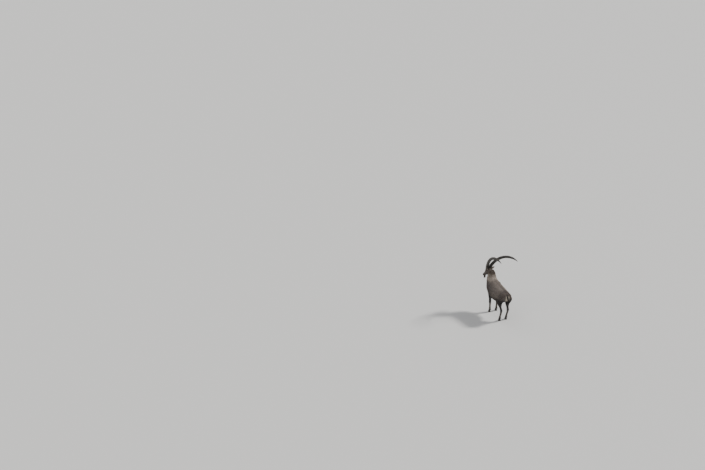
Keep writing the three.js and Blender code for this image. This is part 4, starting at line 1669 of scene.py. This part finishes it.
@dataclass
class Ears:
    """Two leaf-shaped ears, hollow in front, with hair on their backs and edges."""

    build: Build
    maker: TuftMaker
    root: tuple[float, float, float] = (50, -8, 22)
    out: tuple[float, float, float] = (0.8, 0.5, 0.3)
    length: float = 114
    half: float = 25
    outline_at: tuple[float, ...] = (0, 0.12, 0.35, 0.6, 0.85, 0.96, 1)
    outline: tuple[float, ...] = (0.5, 0.66, 0.98, 0.95, 0.6, 0.25, 0.05)
    wall: float = 3.2
    sunk_root: float = 0.08
    hairs: int = 1500
    hair_width: float = 2.4
    root_lift: float = 1.5
    edge_share: float = 0.3
    hollow_share: float = 0.25

    def axes(self, side: Side) -> tuple[Array, Array, Array]:
        """The ear's directions.

        Args:
            side: left or right.

        Returns:
            Along the ear, towards its hollow, and across it, in the head's frame.
        """
        out = unit(side.place(self.out))
        front = np.array([0, -1, 0.25])
        front = unit(front - out * (front @ out))
        return out, front, unit(np.cross(out, front))

    def leaf(self, side: Side, share: Array, across: Array) -> Array:
        """Points of the ear's sheet.

        Args:
            side: left or right.
            share: from root 0 to tip 1.
            across: from one edge, -1, to the other, 1.

        Returns:
            Rows in the head's frame.
        """
        out, front, over = self.axes(side)
        half = self.half * np.interp(share, self.outline_at, self.outline)
        curl = np.interp(share, [0, 0.3, 1], [2.0, 1.35, 0.9])
        angle = across * curl
        sideways = half * np.sin(angle) / np.sin(np.minimum(curl, 1.5))
        forward = -half * 1.1 * np.cos(angle) + 10 * np.sin(np.pi * share) + 6
        place = side.place(self.root) + out * (self.length * share)[:, None]
        return place + front * forward[:, None] + over * sideways[:, None]

    def shell(self, side: Side, colours: CoatColours, material: bpy.types.Material) -> bpy.types.Object:
        """Builds one ear's gristle and skin.

        Args:
            side: left or right.
            colours: the coat's colours.
            material: its finish.

        Returns:
            The piece.
        """
        b = self.build
        bm = bmesh.new()
        bmesh.ops.create_grid(bm, x_segments=30, y_segments=18, size=1)
        grid = np.array([vert.co for vert in bm.verts])
        share = (grid[:, 0] + 1) / 2 * (1 + self.sunk_root) - self.sunk_root
        place_verts(bm.verts, b.to_row(b.head_to_body(self.leaf(side, share, grid[:, 1]))))
        bmesh.ops.solidify(bm, geom=bm.faces[:], thickness=self.wall * MM)
        ear = finish_bmesh(f"ear_shell_{side.word}", bm)
        front = self.axes(side)[1] @ b.head_turn.T
        inside = smooth(0.15, 0.5, normals_of(ear.data) @ front)[:, None]
        paint(ear.data, "coat", linear(colours.ear) * (1 - inside) + linear(colours.ear_inside) * inside)
        ear.data.materials.append(material)
        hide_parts(f"ear_{side.word}")
        return ear

    def hair(self, side: Side, colours: CoatColours) -> Tufts:
        """Sets hair on one ear: on its back, more along its edges, and paler in its hollow.

        Args:
            side: left or right.
            colours: the coat's colours.

        Returns:
            The tufts.
        """
        draw = np.random.default_rng(SEED + 7 * side.value)
        out, front, over = (axis @ self.build.head_turn.T for axis in self.axes(side))
        share, across = draw.uniform(0.05, 0.99, self.hairs), draw.uniform(-1, 1, self.hairs)
        edge = draw.random(self.hairs) < self.edge_share
        across = np.where(edge, np.sign(across) * draw.uniform(0.85, 1, self.hairs), across)
        root = self.build.head_to_body(self.leaf(side, share, across))
        sheet = -front + over * (np.sin(across) * 0.6)[:, None]
        hollow = draw.random(self.hairs) < self.hollow_share
        normal = unit(np.where(hollow[:, None], -sheet, sheet))
        root = root + normal * self.root_lift
        flow = out + draw.normal(0, 0.14, (self.hairs, 3)) + over * (np.sign(across) * 0.25 * edge)[:, None]
        tone = np.where(hollow[:, None], linear(colours.ear_inside), linear(colours.ear))
        tone = tone * draw.uniform(0.8, 1.2, (self.hairs, 1))
        length = np.where(hollow, 15, 10) * draw.uniform(0.8, 1.2, self.hairs)
        lift = np.radians(draw.uniform(8, 16, self.hairs))
        return Tufts(root, normal, flow, length, np.full(self.hairs, self.hair_width), lift, tone)

    def make_one(
        self, side: Side, colours: CoatColours, material: bpy.types.Material
    ) -> list[bpy.types.Object]:
        """Builds one ear and its hair.

        Args:
            side: left or right.
            colours: the coat's colours.
            material: the hair's finish.

        Returns:
            The ear and its coat.
        """
        ear = self.shell(side, colours, material)
        return [ear, self.maker.make(f"ear_hair_{side.word}", self.hair(side, colours), material, "coat")]

    def make(self, colours: CoatColours, surface: HairSurface) -> list[bpy.types.Object]:
        """Builds both ears."""
        material = surface.make()
        return [piece for side in Side for piece in self.make_one(side, colours, material)]


@dataclass(frozen=True)
class HoofSurface:
    """Hoof keratin: near black, satin, with faint growth rings and scuffs."""

    name: str = "hoof_keratin"
    dark: str = "#211e1c"
    pale: str = "#4a433b"
    scuff_mm: float = 14
    ring_mm: float = 6
    bump_mm: float = 0.6

    def make(self) -> bpy.types.Material:
        """Makes the material.

        Returns:
            A material on Object coordinates.
        """
        material, tree, shader = new_material(self.name, Roughness=0.42, IOR=1.54)
        place = node(tree, "TexCoord").outputs["Object"]
        scale = 1000 / self.scuff_mm
        scuffs = node(tree, "TexNoise", None, Vector=place, Scale=scale, Detail=4.0, Roughness=0.65)
        bands, scale = {"bands_direction": "Z"}, 1000 / self.ring_mm / 20
        rings = node(tree, "TexWave", bands, Vector=place, Scale=scale, Distortion=2.0, Detail=2.0)
        ramp = node(tree, "ValToRGB", None, Fac=scuffs.outputs["Fac"])
        set_stops(ramp, (0.42, self.dark), (0.75, self.pale))
        depth = self.bump_mm * MM
        bump = node(tree, "Bump", None, Height=rings.outputs["Fac"], Strength=0.5, Distance=depth)
        tree.links.new(ramp.outputs[0], shader.inputs["Base Color"])
        tree.links.new(bump.outputs[0], shader.inputs["Normal"])
        return material


@dataclass
class Hooves:
    """Two claws and two dewclaws on each foot."""

    build: Build
    top: float = 44
    slope: float = 0.34
    front: float = 34
    back: float = 32
    half: float = 13.5
    sole_back: float = 40
    set_back: float = 7
    sides: int = 44
    levels: int = 9
    bevel: float = 2.2
    sharp: float = math.radians(50)
    dewclaw_at: tuple[float, float, float] = (15, 17, 92)
    dewclaw_way: tuple[float, float, float] = (3, 18.75, -25)
    dewclaw_half: float = 8.5

    def claw(self, foot: Array, to: int) -> list[Array]:
        """The sections of one claw, from sole to coronet.

        Args:
            foot: the middle of the coronet.
            to: the side of the cleft that it is on, 1 or -1.

        Returns:
            Sections in the animal's frame.
        """
        rings = []
        angle = 2 * np.pi * np.arange(self.sides) / self.sides
        c, s = np.cos(angle), np.sin(angle)
        for share in np.linspace(0, 1, self.levels):
            reach_front = self.build.sole_front + (self.front - self.build.sole_front) * share**0.8
            reach_back = self.sole_back + (self.back - self.sole_back) * share
            y = share * self.set_back - c * np.where(c > 0, reach_front, reach_back)
            wide = np.where(s > 0, self.half * 2 * np.abs(s) ** 0.75, 0)
            x = self.build.cleft / 2 + wide * np.where(c > 0, 1 - 0.35 * c**2, 1)
            height = share * (self.top - self.slope * y)
            rings.append(np.column_stack([foot[0] + to * x, foot[1] + y, height]))
        return rings

    def dewclaw(self, foot: Array, to: int) -> Array:
        """The sections of one dewclaw.

        Args:
            foot: the middle of the fetlock.
            to: the side of the leg that it is on, 1 or -1.

        Returns:
            Sections in the animal's frame.
        """
        root = np.array([foot[0], foot[1], 0]) + np.array(self.dewclaw_at) * (to, 1, 1)
        share = np.array([[0], [0.35], [0.7], [0.9], [1]])
        points = root + np.array(self.dewclaw_way) * (to, 1, 1) * share
        half = self.dewclaw_half * np.array([1, 0.95, 0.8, 0.6, 0.3])
        return limb_rings(points, np.column_stack([half, half]), SIDEWAYS, 20, 3)

    def round_edges(self, bm: bmesh.types.BMesh) -> None:
        """Rounds a claw's sharp edges.

        Args:
            bm: the claw, in metres.
        """
        bmesh.ops.recalc_face_normals(bm, faces=bm.faces)
        edges = [edge for edge in bm.edges if edge.is_manifold and edge.calc_face_angle() > self.sharp]
        bmesh.ops.bevel(
            bm,
            geom=edges,
            offset=self.bevel * MM,
            affect="EDGES",
            segments=3,
            profile=0.5,
            material=-1,
            clamp_overlap=True,
        )

    def make(self, surface: HoofSurface) -> list[bpy.types.Object]:
        """Builds all claws and dewclaws.

        Args:
            surface: their finish.

        Returns:
            The pieces.
        """
        material = surface.make()
        pieces = []
        for kind, side in itertools.product(LEG_KINDS, Side):
            points = self.build.leg_points(kind, side)
            coronet, fetlock = points[-2], points[-4]
            for word, to in (("inner", -side.value), ("outer", side.value)):
                claws = {"hoof": self.claw(coronet, to), "dewclaw": self.dewclaw(fetlock, to)}
                for label, rings in claws.items():
                    name = f"{kind}_{side.word}_{word}"
                    bm = bmesh.new()
                    loft(bm, [self.build.to_row(r) for r in rings])
                    if label == "hoof":
                        self.round_edges(bm)
                    piece = finish_bmesh(f"{label}_keratin_{name}", bm)
                    piece.data.materials.append(material)
                    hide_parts(f"{label}_{name}")
                    pieces.append(piece)
        return pieces


@dataclass
class Beard:
    """A short beard of loose locks that hangs from the chin."""

    build: Build
    maker: TuftMaker
    at: tuple[float, float, float] = (0, -238, -50)
    reach: tuple[float, float, float] = (13, 22, 4)
    length: float = 74
    locks: int = 800

    def make(self, colours: CoatColours, surface: HairSurface) -> list[bpy.types.Object]:
        """Builds the beard.

        Args:
            colours: the coat's colours.
            surface: the hair's finish.

        Returns:
            The piece, in a list.
        """
        draw = np.random.default_rng(SEED + 3)
        place = np.array(self.at) + draw.uniform(-1, 1, (self.locks, 3)) * self.reach
        root = self.build.head_to_body(place)
        round_chin = draw.uniform(0, 2 * np.pi, self.locks)
        normal = np.column_stack([np.cos(round_chin), np.sin(round_chin), np.full(self.locks, 0.1)])
        flow = np.array([0, 0.08, -1]) + draw.normal(0, 0.06, (self.locks, 3))
        length = self.length * draw.uniform(0.55, 1.05, self.locks)
        lift = np.radians(draw.uniform(1, 10, self.locks))
        colour = linear(colours.beard) * draw.uniform(0.7, 1.5, (self.locks, 1))
        hair = Tufts(root, normal, flow, length, draw.uniform(2.6, 4.6, self.locks), lift, colour)
        piece = self.maker.make("beard_locks", hair, surface.make(), "dark_coat")
        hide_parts("beard")
        return [piece]


@dataclass
class Tail:
    """A short hanging tail with dark hair, longest at its tip."""

    build: Build
    maker: TuftMaker
    root: tuple[float, float, float] = (0, 500, 742)
    tip: tuple[float, float, float] = (0, 556, 630)
    shares: tuple[float, ...] = (-0.2, 0, 0.3, 0.6, 0.85, 0.97)
    halves: tuple[float, ...] = (1, 1, 0.95, 0.8, 0.6, 0.3)
    half: float = 18
    flatness: float = 0.75
    locks: int = 1100

    def make(self, colours: CoatColours, surface: HairSurface) -> list[bpy.types.Object]:
        """Builds the tail's core and its hair.

        Args:
            colours: the coat's colours.
            surface: the hair's finish.

        Returns:
            The two pieces.
        """
        material = surface.make()
        root, line = np.array(self.root), np.array(self.tip) - np.array(self.root)
        shares, half = np.array(self.shares), self.half * np.array(self.halves)
        points = root + line * shares[:, None]
        rings = limb_rings(points, np.column_stack([half * self.flatness, half]), SIDEWAYS, 24, 4)
        bm = bmesh.new()
        loft(bm, [self.build.to_row(r) for r in rings])
        core = finish_bmesh("tail_core", bm)
        paint(core.data, "coat", np.tile(linear(colours.tail), (len(core.data.vertices), 1)))
        core.data.materials.append(material)
        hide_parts("tail")
        draw = np.random.default_rng(SEED + 5)
        share = draw.uniform(0.05, 0.95, self.locks)
        angle = draw.uniform(0, 2 * np.pi, self.locks)
        back = unit(np.cross(SIDEWAYS, unit(line)))
        normal = np.cos(angle)[:, None] * back + np.sin(angle)[:, None] * SIDEWAYS
        radius = np.interp(share, shares, half)[:, None]
        flat = np.where(np.abs(np.sin(angle)) > 0.7, 0.9, 0.72)[:, None]
        roots = root + line * share[:, None] + normal * radius * flat
        flow = unit(line) + draw.normal(0, 0.1, (self.locks, 3)) + np.array([0, 0, -0.25])
        length = (24 + 34 * share) * draw.uniform(0.7, 1.1, self.locks)
        colour = linear(colours.tail) * draw.uniform(0.7, 1.5, (self.locks, 1))
        lift = np.radians(draw.uniform(8, 20, self.locks))
        hair = Tufts(roots, normal, flow, length, draw.uniform(3.5, 5.5, self.locks), lift, colour)
        return [core, self.maker.make("tail_hair", hair, material, "dark_coat")]


# Floor, light and camera.


@dataclass(frozen=True)
class Lamp:
    """A soft sun: where it stands, its strength, and the angle that it fills, in degrees."""

    name: str
    azimuth: float
    elevation: float
    power: float
    spread: float


@dataclass
class Studio:
    """A plain pale floor, soft light from high on the right, and the photograph's camera.

    The target, in metres, falls on target_pixel of a picture of the given pixels.
    """

    azimuth: float = 153
    elevation: float = 22
    distance: float = 25.4
    lens: float = 50
    sensor: float = 36
    pixels: tuple[int, int] = (705, 470)
    target_pixel: tuple[float, float] = (502.7, 285.6)
    target: tuple[float, float, float] = (0.0, 0.0, 0.78)
    far: float = 900
    floor_colour: str = "#c9c7c2"
    floor_half: float = 260
    sky: tuple[float, float, float, float] = (0.86, 0.9, 1, 1)
    sky_strength: float = 0.45
    lamps: tuple[Lamp, ...] = (
        Lamp("key", 270, 38, 4.4, 9),
        Lamp("fill", 120, 34, 0.8, 50),
        Lamp("front", 20, 35, 0.6, 50),
    )

    def floor(self) -> None:
        """Lays the floor."""
        bm = bmesh.new()
        bmesh.ops.create_grid(bm, x_segments=1, y_segments=1, size=self.floor_half)
        piece = finish_bmesh("floor", bm)
        colour = (*linear(self.floor_colour), 1)
        piece.data.materials.append(new_material("floor_paint_matt", Base_Color=colour, Roughness=0.9)[0])

    def light(self) -> None:
        """Adds three soft suns and an even sky."""
        world = bpy.data.worlds.new("studio")
        bpy.context.scene.world = world
        world.use_nodes = True
        back = world.node_tree.nodes["Background"]
        back.inputs["Color"].default_value = self.sky
        back.inputs["Strength"].default_value = self.sky_strength
        for lamp in self.lamps:
            sun = bpy.data.lights.new(lamp.name, "SUN")
            sun.energy, sun.angle = lamp.power, math.radians(lamp.spread)
            made = bpy.data.objects.new(lamp.name, sun)
            bpy.context.scene.collection.objects.link(made)
            made.rotation_mode = "QUATERNION"
            made.rotation_quaternion = towards(lamp.azimuth, lamp.elevation).to_track_quat("Z", "Y")

    def camera(self) -> None:
        """Places the camera so that the target falls on its pixel with no shift and no roll."""
        back = towards(self.azimuth, self.elevation)
        ray = -back
        focal = self.lens / self.sensor * self.pixels[0]
        right = (self.target_pixel[0] - self.pixels[0] / 2) / focal
        up = -(self.target_pixel[1] - self.pixels[1] / 2) / focal
        length = math.sqrt(1 + right**2 + up**2)
        pitch = math.asin(length * ray.z / math.sqrt(1 + up**2)) - math.atan(up)
        offset = math.atan2(right, math.cos(pitch) - up * math.sin(pitch))
        heading = math.atan2(ray.x, ray.y) - offset
        data = bpy.data.cameras.new("camera")
        data.lens, data.sensor_width = self.lens, self.sensor
        data.clip_start, data.clip_end = 0.1, self.far
        made = bpy.data.objects.new("camera", data)
        bpy.context.scene.collection.objects.link(made)
        made.location = Vector(self.target) + back * self.distance
        made.rotation_euler = (math.pi / 2 + pitch, 0, -heading)
        bpy.context.scene.camera = made


def main() -> None:
    """Builds the animal and its stage, piece by piece."""
    logging.basicConfig(level=logging.INFO, format="%(name)s %(message)s")
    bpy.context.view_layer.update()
    studio = Studio()
    studio.camera()
    studio.light()
    studio.floor()
    build = Build()
    LOG.info("origin shift %s mm", np.round(build.shift, 2))
    colours = CoatColours()
    maker = TuftMaker(build)
    skin = Skin(build).make(colours, HairSurface("hide_and_underwool", strength=0.8, sheen=0.1))
    pieces = [skin]
    coat = HairSurface("guard_hair")
    pieces += Coat(build, maker).make(skin, colours, coat)
    pieces += Horns(build).make(HornSurface())
    pieces += Eyes(build).make(EyeSurface())
    pieces += Ears(build, maker).make(colours, HairSurface("ear_hair"))
    pieces += Hooves(build).make(HoofSurface())
    pieces += Beard(build, maker).make(colours, HairSurface("beard_hair", sheen=0.1))
    pieces += Tail(build, maker).make(colours, HairSurface("tail_hair", sheen=0.1))
    for piece in pieces:
        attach(piece, BODY)
        LOG.info("%s: %d faces", piece.name, len(piece.data.polygons))


if __name__ == "__main__":
    main()
